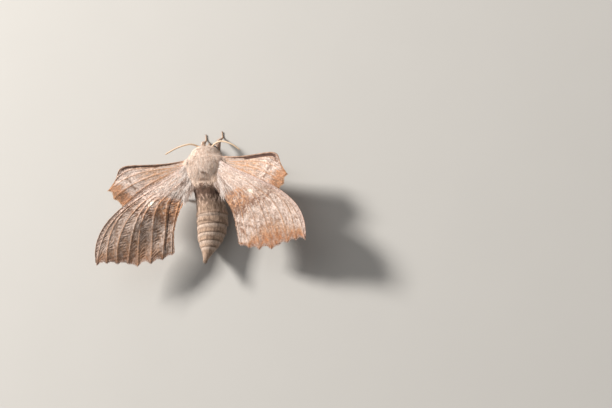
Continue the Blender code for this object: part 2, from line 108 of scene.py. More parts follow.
# Tufts: a triangle at the foot, a smaller one halfway and the tip, with faces and chart
TUFT_POINTS = 7
TUFT_TURNS = [math.pi * (0.5 + corner * 2.0 / 3.0) for corner in range(3)]
TUFT_FACES = np.array([(2, 1, 0), (1, 3, 0), (4, 3, 1), (2, 4, 1), (5, 4, 2), (0, 5, 2),
                       (3, 5, 0), (4, 6, 3), (5, 6, 4), (3, 6, 5)])
TUFT_CHART = np.array([(-1, -1), (0, -1), (1, -1), (-1, 0.3), (0, 0.3), (1, 0.3),
                       (0, 1)]) * 0.0015
TUFT_TIPS = [0, 0, 0, 0.5, 0.5, 0.5, 1.0]
ROOT_DEPTH, FRINGE_DEPTH = 0.08, 0.08
PALP_TUFTS, LEG_TUFTS = 1400, 2200
SOFT_LIGHT = np.array([0.0, 0.0, 0.55])

# Seeds of the random draws, for the left and right wing where there are two
SEEDS = {"thorax": 101, "shoulders": 109, "head": 113, "abdomen": 127, "segments": 131,
         "palp": 139, "leg": 149, "hair": (157, 163), "fringe": (167, 173), "comb": 5,
         "strand": 3, "forewing": (11, 23), "hindwing": (37, 51)}

# Wings: for each vein two curve controls, its tip, the notch after it and where along it the
# vein starts to stand up; span outward first, then forward
Vein = namedtuple("Vein", "name near far tip notch rise")
FOREWING_ROOT = ((-2.0, 0.2), (-1.0, -4.5))
FOREWING_VEINS = (
    Vein("costa", (12.3, -0.8), (30.7, 11.9), (41.0, -1.0), 0.0, 0.00),
    Vein("radius", (17.2, -1.1), (25.8, 10.0), (41.3, -1.7), 0.5, 0.00),
    Vein("radial_5", (18.1, -2.0), (24.3, 10.1), (38.9, -3.5), 0.5, 0.55),
    Vein("medial_1", (10.8, -3.6), (23.0, 7.5), (37.0, -5.7), 0.5, 0.45),
    Vein("medial_2", (17.5, -3.5), (14.9, 5.5), (34.8, -7.8), 0.3, 0.48),
    Vein("medial_3", (18.2, -3.8), (16.4, 3.9), (33.5, -10.3), 1.0, 0.50),
    Vein("cubital_1", (18.0, -4.2), (13.3, 1.3), (30.3, -12.7), 0.8, 0.00),
    Vein("cubital_2", (17.6, -4.2), (10.5, -2.8), (27.0, -14.3), 0.5, 0.45),
    Vein("anal", (9.2, -4.9), (16.4, -8.6), (23.9, -15.2), 0.0, 0.05),
    Vein("inner_edge", (12.4, -8.9), (14.9, -7.3), (23.0, -15.3), 0.0, 0.05))
HINDWING_ROOT = ((-2.0, 0.2), (-1.0, -4.6))
HINDWING_VEINS = (
    Vein("costa", (12.2, -0.6), (19.6, 5.5), (21.3, 1.2), 0.1, 0.00),
    Vein("subcosta", (10.5, -1.2), (17.4, 4.0), (22.6, -0.6), 0.7, 0.00),
    Vein("radial", (8.5, -2.0), (15.0, 2.2), (25.4, -3.1), 0.8, 0.10),
    Vein("medial_1", (7.7, -1.8), (15.4, -1.5), (24.6, -5.8), 0.6, 0.40),
    Vein("medial_3", (6.8, -2.0), (15.5, -4.6), (22.9, -8.6), 0.6, 0.40),
    Vein("cubital_1", (6.7, -2.6), (13.6, -7.0), (20.4, -11.3), 0.6, 0.05),
    Vein("cubital_2", (5.6, -3.5), (11.3, -9.5), (17.4, -13.6), 0.5, 0.30),
    Vein("anal", (4.4, -5.1), (8.6, -11.2), (14.0, -15.2), 0.2, 0.05),
    Vein("inner_edge", (3.0, -5.9), (5.8, -11.5), (11.0, -15.6), 0.0, 0.05))
NOTCH_REACH = 30.0
WING_LAYER_SPACING = 1.2
PLATE_LIFT = 0.14
WRINKLE_STEP = 0.95
HINDWING_ROWS_SHARE = 0.65
CURVE_POINTS = 81
VEIN_WIDTH, VEIN_HEIGHT = 0.24, 0.13
PANEL_SAG, CREASE_DEPTH = 0.045, 0.17
HINDWING_DROP, HINDWING_RELIEF = 0.06, 0.7
FLOW_BREADTH = 22.0

# Forewing pattern: distances from the root and widths at shares of the way from front to rear
BAND_INNER = ((0.0, 0.3, 0.5, 0.87, 1.0), (21.5, 20.5, 15.5, 12.0, 11.5))
BAND_OUTER = ((0.0, 0.3, 0.64, 0.9, 1.0), (24.0, 23.8, 20.9, 18.4, 17.8))
BAND_CENTRE = (-1.0, -2.0)
RIM_WIDTH = ((0.0, 0.06, 0.2, 0.3, 0.42, 0.53, 0.62, 0.72, 0.82, 1.0),
             (0.3, 1.6, 2.6, 3.2, 4.6, 6.0, 4.4, 2.4, 0.4, 0.1))
DISC_PLACE = (17.0, -1.3)

# Antennae and legs: the same joints as in the solids
ANTENNA_RADIUS, ANTENNA_RINGS = 0.27, 48
PALP_RADIUS = 0.42
ANTENNA_PATHS = {
    "left": ((-0.6, 5.5, -0.3), (-1.6, 6.35, 0.25), (-3.2, 7.0, 1.3), (-5.0, 7.0, 1.9),
             (-8.4, 6.2, 2.0), (-12.2, 4.8, 1.4)),
    "right": ((1.2, 5.2, -0.3), (2.3, 5.85, 0.25), (4.1, 6.6, 1.3), (6.3, 6.7, 1.9),
              (9.2, 5.4, 2.0), (11.8, 3.35, 1.4))}
LEGS = {
    "front": {"left": ((0.6, 3.0, -2.8), (1.7, 5.4, -4.9), (1.6, 8.3, -4.0), (1.75, 10.3, -6.9),
                       (1.95, 11.4, -8.55), (2.05, 13.0, -8.72)),
              "right": ((1.4, 3.0, -2.8), (2.4, 5.4, -4.9), (3.4, 8.6, -4.0), (3.4, 10.6, -6.9),
                        (3.3, 11.7, -8.55), (3.2, 13.4, -8.72))},
    "mid": {"both": ((1.8, -0.4, -3.0), (4.3, 0.3, -5.2), (8.0, 1.9, -4.3), (9.9, 2.7, -7.0),
                     (10.9, 3.3, -8.55), (12.7, 4.4, -8.72))},
    "hind": {"both": ((1.8, -2.9, -3.0), (4.6, -4.2, -5.3), (8.2, -5.2, -4.6),
                      (10.2, -5.9, -7.1), (11.3, -6.4, -8.55), (13.1, -7.4, -8.72))}}
LEG_RADII = (0.85, 0.75, 0.55, 0.34, 0.24, 0.18)
LEG_JOINTS = (0.2, 0.4, 0.66, 0.74, 0.81, 0.88, 0.94)
KNEE = 0.66
JOINT_WAIST, JOINT_LENGTH = 0.28, 0.013
CLAW_RADII, SPUR_RADII = (0.09, 0.02), (0.12, 0.03)


# Small helpers

def smooth(value, low=0.0, high=1.0):
    """Smooth step from 0 at low to 1 at high, for numbers and arrays."""
    value = np.clip((np.asarray(value, float) - low) / (high - low), 0.0, 1.0)
    return value * value * (3.0 - 2.0 * value)


def to_frame(points):
    """Points of the moth's frame in millimetres as points of the solids' frame in metres."""
    return np.asarray(points, float) * MM + ORIGIN


def to_moth(points):
    """Points of the solids' frame in metres as points of the moth's frame in millimetres."""
    return (np.asarray(points, float) - ORIGIN) / MM


def unit(vectors):
    """Rows of an array scaled to length one."""
    return vectors / np.maximum(np.linalg.norm(vectors, axis=-1, keepdims=True), 1e-12)


def read(mesh, key="co"):
    """Places or normals of a mesh's points, one row each."""
    values = np.empty(len(mesh.vertices) * 3)
    mesh.vertices.foreach_get(key, values)
    return values.reshape(-1, 3)


def move(mesh, points):
    """Put a mesh's points at new places."""
    mesh.vertices.foreach_set("co", points.ravel())
    mesh.update()


def store(mesh, name, values):
    """Keep a number or a vector for each point of a mesh."""
    values = np.asarray(values, float)
    kind, key = ("FLOAT", "value") if values.ndim == 1 else ("FLOAT_VECTOR", "vector")
    mesh.attributes.new(name, kind, "POINT").data.foreach_set(key, values.ravel())


def activate(*items):
    """Leave object mode's selection with these objects alone, the first one active."""
    if bpy.context.mode != "OBJECT":
        bpy.ops.object.mode_set(mode="OBJECT")
    bpy.ops.object.select_all(action="DESELECT")
    for item in items:
        item.select_set(True)
    if items:
        bpy.context.view_layer.objects.active = items[0]


def join(*items):
    """Join mesh objects into the first one."""
    activate(*items)
    bpy.ops.object.join()
    return bpy.context.active_object


def linked(name, data):
    """New object of some data in the scene."""
    item = bpy.data.objects.new(name, data)
    bpy.context.collection.objects.link(item)
    return item


def apply_modifier(item, kind, **values):
    """Add a modifier with the given values and apply it."""
    activate(item)
    modifier = item.modifiers.new(kind.lower(), kind)
    for name, value in values.items():
        setattr(modifier, name, value)
    bpy.ops.object.modifier_apply(modifier=modifier.name)


def finish_piece(item, name, material, slot, *nodes):
    """Name a finished piece, give it its finish and let it ride on the body."""
    item.name = item.data.name = name
    item.data.materials.clear()
    item.data.materials.append(material)
    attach(item, "root")
    if nodes:
        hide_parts(*nodes)
    return item


def lattice_noise(x, y, seed):
    """Smooth random values between -1 and 1 over a plane of unit cells."""
    table = np.random.default_rng(seed).uniform(-1.0, 1.0, (64, 64))
    column, row = np.floor(x).astype(int), np.floor(y).astype(int)
    across, along = smooth(x - column), smooth(y - row)
    rows = [table[line % 64, column % 64] * (1 - across)
            + table[line % 64, (column + 1) % 64] * across for line in (row, row + 1)]
    return rows[0] * (1 - along) + rows[1] * along


def spline(points, steps):
    """Array of points on a smooth curve through the given points."""
    points = np.asarray(points, float)
    ends = np.vstack([2 * points[0] - points[1], points, 2 * points[-1] - points[-2]])
    curve = []
    for index in range(1, len(ends) - 2):
        before, start, end, after = ends[index - 1:index + 3]
        for step in range(steps):
            t = step / steps
            curve.append(0.5 * (2 * start + (end - before) * t
                                + (2 * before - 5 * start + 4 * end - after) * t ** 2
                                + (3 * start - before - 3 * end + after) * t ** 3))
    return np.array(curve + [points[-1]])


# Shader expressions

class Value:
    """Output of a node that takes part in sums and products."""

    def __init__(self, surface, socket):
        self.surface = surface
        self.socket = socket

    def __add__(self, other):
        return self.surface.math("ADD", self, other)

    __radd__ = __add__

    def __mul__(self, other):
        return self.surface.math("MULTIPLY", self, other)

    __rmul__ = __mul__

    def __sub__(self, other):
        return self.surface.math("SUBTRACT", self, other)

    def __rsub__(self, other):
        return self.surface.math("SUBTRACT", other, self)

    def step(self, low, high):
        """Smooth step from 0 at low to 1 at high."""
        return self.surface.node("MapRange", {"interpolation_type": "SMOOTHSTEP"},
                                 {0: self, 1: low, 2: high, 3: 0.0, 4: 1.0})

    def between(self, rise, fall):
        """1 between two soft edges, each given by its start and end."""
        return self.step(*rise) * (1.0 - self.step(*fall))

    def spot(self, centre, width):
        """Soft hump round a centre."""
        away = self.surface.math("ABSOLUTE", self - centre)
        return 1.0 - away.step(0.3 * width, width)

    def tint(self, colour, amount):
        """Colour turned towards another one by an amount."""
        return self.surface.mix(amount, self, colour)

    def tints(self, *layers):
        """Colour turned in turn towards several others, each by its own amount."""
        turned = self
        for colour, amount in layers:
            turned = turned.tint(colour, amount)
        return turned

    def shade(self, factor):
        """Colour or vector multiplied by a number."""
        return self.surface.node("VectorMath", {"operation": "SCALE"}, {0: self, "Scale": factor})

    def parts(self):
        """The three components of a vector."""
        node = self.surface.node("SeparateXYZ", {}, {0: self}).socket.node
        return [Value(self.surface, output) for output in node.outputs]

    def stretch(self, scale, move=0.0):
        """Vector scaled along its axes, then moved along all of them."""
        return self.surface.node("Mapping", {}, {"Vector": self, "Scale": scale,
                                                 "Location": (move, move, move)})

    def noise(self, scale, detail=2.0, roughness=0.5):
        """Cloudy value between 0 and 1 at a place."""
        return self.surface.node("TexNoise", {}, {"Vector": self, "Scale": scale,
                                                  "Detail": detail, "Roughness": roughness})

    def cells(self, scale):
        """Distance from a place to the nearest of many scattered points."""
        return self.surface.node("TexVoronoi", {}, {"Vector": self, "Scale": scale}, "Distance")


class Surface:
    """A material and the nodes that shade it."""

    def __init__(self, name, roughness, **numbers):
        self.material = bpy.data.materials.new(name)
        self.material.use_nodes = True
        self.tree = self.material.node_tree
        self.inputs = self.tree.nodes["Principled BSDF"].inputs
        self.inputs["Roughness"].default_value = roughness
        for key, number in numbers.items():
            self.inputs[key.replace("_", " ").title()].default_value = number

    def node(self, kind, settings, values, output=0):
        """Output of a node of a type, with its settings, then the values or links it takes."""
        node = self.tree.nodes.new(f"ShaderNode{kind}")
        for key, value in settings.items():
            setattr(node, key, value)
        for key, value in values.items():
            self.feed(node.inputs[key], value)
        return Value(self, node.outputs[output])

    def feed(self, socket, value):
        """Link an output to a socket, or set the socket's own value."""
        if isinstance(value, Value):
            self.tree.links.new(value.socket, socket)
        elif socket.type == "RGBA":
            socket.default_value = (*value, 1.0)
        else:
            socket.default_value = value

    def math(self, operation, first, second=0.0):
        """Arithmetic on two numbers."""
        return self.node("Math", {"operation": operation}, {0: first, 1: second})

    def mix(self, factor, first, second):
        """Colour between two colours."""
        return self.node("Mix", {"data_type": "RGBA"}, {0: factor, 6: first, 7: second}, 2)

    def attributes(self, *names, output="Fac"):
        """Values stored on the mesh's points."""
        found = [self.node("Attribute", {"attribute_name": name}, {}, output) for name in names]
        return found if len(found) > 1 else found[0]

    def place(self):
        """Position on the moth in millimetres."""
        place = self.node("TexCoord", {}, {}, "Object")
        moved = self.node("VectorMath", {"operation": "SUBTRACT"}, {0: place, 1: tuple(ORIGIN)})
        return moved.shade(1.0 / MM)

    def finish(self, colour, height=None, distance=0.0, strength=1.0):
        """Send a colour and a bump of a height in millimetres to the shader."""
        self.feed(self.inputs["Base Color"], colour)
        if height is not None:
            self.feed(self.inputs["Normal"], self.node("Bump", {}, {
                "Strength": strength, "Distance": distance * MM, "Height": height}))
        return self.material


class WingSurface(Surface):
    """A wing's material, with the streaks and mottling that its colours share."""

    def __init__(self, name):
        super().__init__(name, 0.80, sheen_weight=0.08)
        self.plane, flow = self.attributes("plane", "flow", output="Vector")
        self.streak = flow.stretch((0.38, 1.25, 1.0)).noise(1.3, 3.0, 0.62)
        self.lines = flow.stretch((0.12, 1.5, 1.0), 17.0).noise(1.3)
        self.dashes = flow.stretch((0.5, 1.2, 1.0), 31.0).noise(1.15, 3.0, 0.6)
        self.mottle = self.plane.noise(1.5, 4.0, 0.68)
        scales = self.plane.stretch((1.0, 2.6, 1.0)).noise(6.0, 3.0, 0.7)
        flecks = self.plane.stretch((1.0, 1.3, 1.0), 5.0).noise(2.1, 2.0, 0.6)
        self.grain = scales * 0.5 + flecks.step(0.36, 0.64) * 0.5

    def ground(self, colours, wear):
        """Pale scales with streaks, grey mottling, brown dashes, tan lines, and painted highlight
        and shade on the wrinkles.
        """
        cloud, fold = self.plane.noise(0.45), self.attributes("fold")
        mottled = self.mottle + (cloud - 0.5) * 0.5
        colour = self.mix((self.streak * 0.6 + self.mottle * 0.4).step(0.42, 0.56),
                          colours.wing_pink, colours.wing_white)
        return colour.tints((colours.wing_grey, mottled.step(0.50, 0.64) * 0.60),
                            (colours.wing_brown, self.dashes.step(0.56, 0.66) * 0.60),
                            (colours.wing_tan, self.lines.step(0.57, 0.67) * 0.50),
                            # Painted highlight on the wrinkle crests and painted shade in their
                            # troughs.
                            (colours.wing_white, fold.step(0.15, 0.85) * (0.50 * wear)),
                            (colours.wing_brown, (fold * -1.0).step(0.05, 0.75) * (0.70 * wear)))


# Finishes

def body_finish(colours, name, coat):
    """Buff fur of the head and thorax, browner and ringed on the abdomen, set by its roots."""
    surface = Surface(name, 0.85, sheen_weight=0.25)
    place = surface.attributes("root", output="Vector")
    x, y, z = place.parts()
    drift = place.noise(0.7) - 0.5
    clumps = place.stretch((2.4, 0.75, 2.4)).noise(1.0, 3.0, 0.6)
    fine = place.stretch((6.0, 1.6, 6.0)).noise(1.2)
    wisps = place.stretch((1.6, 0.7, 1.6), 9.0).noise(1.0, 3.0, 0.65)
    y_soft = y + drift * 1.2
    tufted = clumps.step(0.38, 0.60)

    # Painted shade: the thorax fur darker and dimmer towards its lower sides.
    low = 1.0 - z.step(-2.5, 1.8)
    # Dark strands in the fur, strengthened on the right side as painted shade.
    strands_and_shade = wisps.step(0.53, 0.64) * (0.32 + 0.40 * x.step(0.3, 3.2))
    shadow = x.step(1.2, 3.4) * (1.0 - y.step(-3.4, -0.5))
    bow = y + x * x * 0.12
    marks = [(x - 0.55 + drift * 0.6).spot(0.0, 1.6)
             * (bow + (x - 0.55) * 0.30 + drift * 0.5).spot(-2.55, 0.50),
             (x - 0.6).spot(0.0, 2.5) * (bow + drift * 0.5).spot(-4.25, 0.55)]
    thorax = surface.mix(tufted, colours.thorax_dark, colours.thorax)
    thorax = thorax.tint(colours.thorax_dark, low * 0.6)
    thorax = thorax.shade(1.0 - low * (0.12 + 0.28 * fine.step(0.40, 0.60)))
    thorax = thorax.tints((colours.abdomen, (1.0 - y_soft.step(-5.6, -2.6)) * 0.45),
                          (colours.abdomen, strands_and_shade),
                          (colours.abdomen, shadow * fine.step(0.42, 0.58) * 0.6),
                          (colours.mark, (marks[0] + marks[1] * 0.8) * z.step(0.5, 2.0) * 0.9))

    front = y_soft.step(-17.0, -9.5)
    tail = 1.0 - y_soft.step(-26.5, -24.5)
    upper = z.step(-3.2, -0.4)
    lines = sum(y.spot(line, 0.32) for line in RING_LINES)
    # Painted light on the segments: behind marks a painted highlight on the front slope of each
    # segment, just tailwards of its line and brighter on top; ahead marks painted shade on the
    # slope running into the line.
    behind = sum(y.between((line - 1.5, line - 0.40), (line - 0.32, line - 0.12))
                 for line in RING_LINES)
    ahead = sum(y.between((line, line + 0.2), (line + 0.2, line + 1.7)) for line in RING_LINES)
    # Dark fur just behind the thorax, partly its own colour and partly painted shade under the
    # thorax's rear edge, mostly on top.
    collar_and_shade = (y_soft + (clumps - 0.5) * 5.0).step(-13.0, -8.0)
    pale = wisps.step(0.50, 0.62) * (1.0 - y.step(-9.6, -8.6))
    abdomen = surface.mix(tufted, colours.abdomen_dark, colours.abdomen).tints(
        (colours.abdomen_dark, front * (0.35 + 0.65 * fine.step(0.36, 0.62))),
        (colours.abdomen_dark, tail * 0.40),
        # Painted shade ahead of each line, then painted highlight behind it.
        (colours.abdomen_dark, ahead * (1.0 - front) * 0.35),
        (colours.thorax, behind * (0.44 - 0.26 * front) * (0.40 + 0.60 * upper)),
        (colours.ring, lines * (0.92 - 0.70 * front) * (0.55 + 0.45 * upper)),
        (colours.collar_and_shade, collar_and_shade * (0.25 + 0.75 * upper)),
        (colours.thorax_dark, pale * (0.10 + front * 0.55)))
    abdomen = abdomen.shade(1.0 + (wisps.step(0.36, 0.56) - 0.5) * (0.20 + front * 0.40))

    border = y + (clumps - 0.5) * 1.6 + (fine - 0.5) * 2.0
    colour = abdomen.tint(thorax, border.step(FUR_BORDER - 0.15, FUR_BORDER))
    if not coat:
        return surface.finish(colour.shade(0.55 + fine * 0.4), fine, 0.05)
    tuft, tip = surface.attributes("tuft", "tip")
    return surface.finish(colour.shade((0.80 + tuft * 0.42) * (0.84 + tip * 0.24)))


def forewing_finish(colours, side):
    """Banded scales of one forewing, with the wear and the painted light and shade of its side."""
    light, fade, wear, brown, ribs = (getattr(colours, f"fore_{key}")[side.index] for key in (
        "shade", "fade", "wear", "rim", "veins"))
    surface = WingSurface(f"forewing_bands_{side.name}")
    vein, band, rim, disc, margin, costal, across, along, crease = surface.attributes(
        "vein", "band", "rim", "disc", "margin", "costal", "across", "along", "crease")
    streak, dashes, mottle = surface.streak, surface.dashes, surface.mottle
    drift, stray = mottle - 0.5, streak - 0.5
    blotch = surface.plane.noise(0.9, 3.0, 0.6)

    shifted = band + drift * 0.9 + stray * 0.4
    inside = shifted.between((-0.15, 0.16), (0.84, 1.10)) * (0.22 + 0.78 * across.step(0.42, 0.74))
    rust = surface.mix((blotch * 0.5 + mottle * 0.5).step(0.44, 0.54), colours.band_dark,
                       colours.band)
    rust = rust.tint(colours.wing_tan, streak.step(0.52, 0.64) * 0.6)
    edge = shifted.spot(0.98, 0.24) * blotch.step(0.38, 0.56)
    smear = shifted.spot(0.5, 0.9) * (1.0 - across.step(0.30, 0.50))
    colour = surface.ground(colours, wear).tints(
        (rust, inside * (0.35 + 0.60 * dashes.step(0.38, 0.52))),
        (colours.band_dark, edge * 0.90),
        (colours.wing_grey, smear * mottle.step(0.42, 0.56) * 0.8))
    for centre, amount in ((6.4, 0.75), (9.6, 0.35)):
        crossing = (margin + drift * 2.0).spot(centre, 0.70)
        crossing = crossing * dashes.step(0.44, 0.56) * band.step(1.05, 1.35)
        colour = colour.tint(colours.wing_brown, crossing * amount)

    ragged = rim + stray * 2.4 + drift * 0.8
    tan = surface.mix((rim + drift * 1.4).step(0.0, 0.6), colours.rim_light, colours.rim)
    tan = tan.tint(colours.rim_dark, (streak * 0.6 + mottle * 0.4).step(0.48, 0.58) * 0.65)
    tan = tan.shade(0.78 + (dashes * 0.5 + mottle * 0.5).step(0.40, 0.60) * 0.44)
    solid = 0.62 + 0.38 * (dashes * 0.6 + streak * 0.4).step(0.42, 0.54)
    tornus = across.spot(0.82, 0.06) * margin.spot(4.3, 1.3)
    pale = 1.0 - (costal + drift * 0.8).step(0.3, 1.5)
    specks = surface.plane.noise(2.6).step(0.56, 0.62)
    ribbed = vein.step(0.12, 0.85) * (0.40 + 0.60 * along.step(0.28, 0.48))
    ribbed = ribbed * (0.45 + 0.55 * across.step(0.14, 0.20)) * (
        1.0 - 0.55 * across.spot(0.444, 0.05))
    glow = 1.0 - (disc + drift * 3.0).step(0.6, 2.6)
    spot = 1.0 - (disc + drift * 2.6 + stray * 2.6).step(0.25, 0.95)
    # Painted shade on the outer forewing: a warm brown tint and brightness lost towards the
    # margin, strongest on the left, with wear.
    worn_and_shaded = along.step(0.42, 0.75)
    # Painted shade: dark lines along the fold creases and a dark streak of fold shadow between the
    # middle veins, mostly on the left.
    line = (crease + drift * 1.4).step(0.74, 1.0)
    fold_shadow = across.spot(0.535, 0.035) * (margin + drift * 2.0).spot(11.4, 2.6)
    colour = colour.tints(
        (tan, ragged.step(-0.75, 0.40) * solid * brown),
        (colours.rim_dark, tornus * 0.7),
        (colours.costa, pale * (0.70 - wear * 0.45)),
        (colours.wing_brown, pale * specks * 0.6),
        (colours.vein, ribbed * (0.40 + 0.60 * dashes.step(0.34, 0.58)) * ribs),
        (colours.wing_white, glow * 0.30),
        (colours.disc, spot),
        (colours.wear_and_shade_brown, worn_and_shaded * (wear * 0.38)),
        (colours.crease, line * wear),
        (colours.crease, fold_shadow * (0.35 + 0.65 * streak.step(0.42, 0.54)) * wear))
    grain = surface.grain
    # Painted light: the base brightness is higher on the left, and painted shade dims its outer
    # part towards the margin.
    return surface.finish(colour.shade((0.62 + grain * 0.76) * (light - worn_and_shaded * fade)),
                          grain, 0.07, 0.9)


def hindwing_finish(colours, side):
    """Buff scales of one hindwing, with painted shade behind its upturned front edge, painted
    light on the left one, and rusty teeth.
    """
    # Left and right differ to paint light: the left hindwing brighter and whiter towards its
    # margin, partly by white scales, with a narrower painted shade strip.
    light, reach, white_scales_and_light = (getattr(colours, f"hind_{key}")[side.index] for key in (
        "shade", "strip", "pale"))
    surface = WingSurface(f"hindwing_scales_{side.name}")
    vein, rim, costal, across, along, margin = surface.attributes(
        "vein", "rim", "costal", "across", "along", "margin")
    streak, dashes, mottle = surface.streak, surface.dashes, surface.mottle
    drift, blotch = mottle - 0.5, surface.plane.noise(0.8)

    brown = (blotch + (dashes - 0.5) * 0.5).step(0.57, 0.66)
    inner = (1.0 - along.step(0.50, 0.85)) * streak.step(0.42, 0.58)
    crossing = (margin + drift * 1.6).spot(6.2, 0.7)
    ragged = rim + drift * 1.3 + (streak - 0.5) * 1.8
    tan = surface.mix(mottle.step(0.44, 0.60), colours.rim_light, colours.rim)
    tan = tan.tint(colours.rim_dark, (streak * 0.5 + dashes * 0.5).step(0.50, 0.60) * 0.45)
    tan = tan.shade(0.90 + (dashes * 0.5 + mottle * 0.5).step(0.40, 0.60) * 0.36)
    patch = across.step(0.55, 0.75) * (1.0 - along.step(0.45, 0.72))
    # Painted shade in a strip behind the upturned front edge.
    strip = (costal + drift * 0.35).between((0.20, 0.34), (reach, reach * 1.4))
    strip = strip * along.step(0.16, 0.34) * (1.0 - along.step(0.88, 0.96))
    shoulder = along.step(0.78, 0.88) * (1.0 - costal.step(1.4, 2.6))
    specks = surface.plane.noise(3.2).step(0.48, 0.55)
    colour = surface.ground(colours, 0.35).tints(
        (colours.band, brown * 0.60),
        (colours.wing_tan, inner * 0.60),
        (colours.wing_white, along.step(0.45, 0.8) * white_scales_and_light),
        (colours.wing_brown, crossing * blotch.step(0.42, 0.56) * 0.7),
        (tan, ragged.step(-0.30, 0.30) * 0.80),
        (colours.rust_patch, patch * 0.85),
        (colours.vein, vein * (0.45 + 0.5 * mottle.step(0.40, 0.60))),
        (colours.strip, strip * 0.97),
        (colours.band_dark, shoulder * specks * 0.8))
    grain = surface.grain
    bands = 0.88 + (streak * 0.5 + dashes * 0.5).step(0.44, 0.56) * 0.24
    return surface.finish(colour.shade((0.50 + grain * 0.92) * bands * light), grain, 0.07, 0.9)


def hair_finish(name, dark, light):
    """Loose hair and fringe scales, from dark to light in strands."""
    surface = Surface(name, 0.75, sheen_weight=0.10)
    tuft, tip, strand = surface.attributes("tuft", "tip", "strand")
    tone = (strand + (tuft - 0.5) * 0.7).step(0.10, 0.62)
    return surface.finish(surface.mix(tone, dark, light).shade(0.78 + tip * 0.28))


def eye_finish(colours):
    """Dark glossy lens field of a compound eye."""
    surface = Surface("eye_lenses", 0.3, coat_weight=0.3)
    place = surface.place()
    facets = place.cells(9.0)
    colour = surface.mix(place.noise(1.6).step(0.4, 0.65), colours.eye, colours.eye_light)
    return surface.finish(colour.shade(0.5 + facets * 0.6), 1.0 - facets, 0.02, 0.7)


def limb_finish(name, base, end, turn, pale=None):
    """Scaled limb whose colour turns from base to end, with pale scales among its tufts."""
    surface = Surface(name, 0.62)
    place = surface.place()
    grain = place.stretch((5.0, 5.0, 5.0)).noise(1.5, 3.0)
    patches = place.noise(0.9)
    along = surface.attributes("along") + (grain - 0.5) * 0.1
    colour = surface.mix(along.step(*turn), base, end)
    if pale is not None:
        tuft = surface.attributes("tuft")
        colour = colour.shade(0.45 + 0.75 * tuft.step(0.10, 0.45))
        colour = colour.tint(pale, (tuft * 0.8 + patches * 0.6).step(0.66, 0.80))
    colour = colour.shade((0.72 + grain * 0.55) * (0.8 + patches * 0.4))
    return surface.finish(colour, grain, 0.03, 0.7)


# Tufts

def body_chart(points):
    """Place of body points on an unwrap round the body's length."""
    around = np.arctan2(points[:, 0], points[:, 2] + 1.0) / (2 * math.pi) + 0.5
    along = (points[:, 1] - ABDOMEN_END) / (FACE_END - ABDOMEN_END)
    return np.stack([0.02 + 0.96 * around, 0.02 + 0.96 * along], axis=1)


def wing_chart(points):
    """Place of wing points on a flat unwrap of the wing."""
    return np.stack([0.03 + 0.92 * np.abs(points[:, 0]) / WING_SPAN,
                     0.03 + 0.92 * (points[:, 1] - WING_REAR) / (WING_FRONT - WING_REAR)],
                    axis=1)


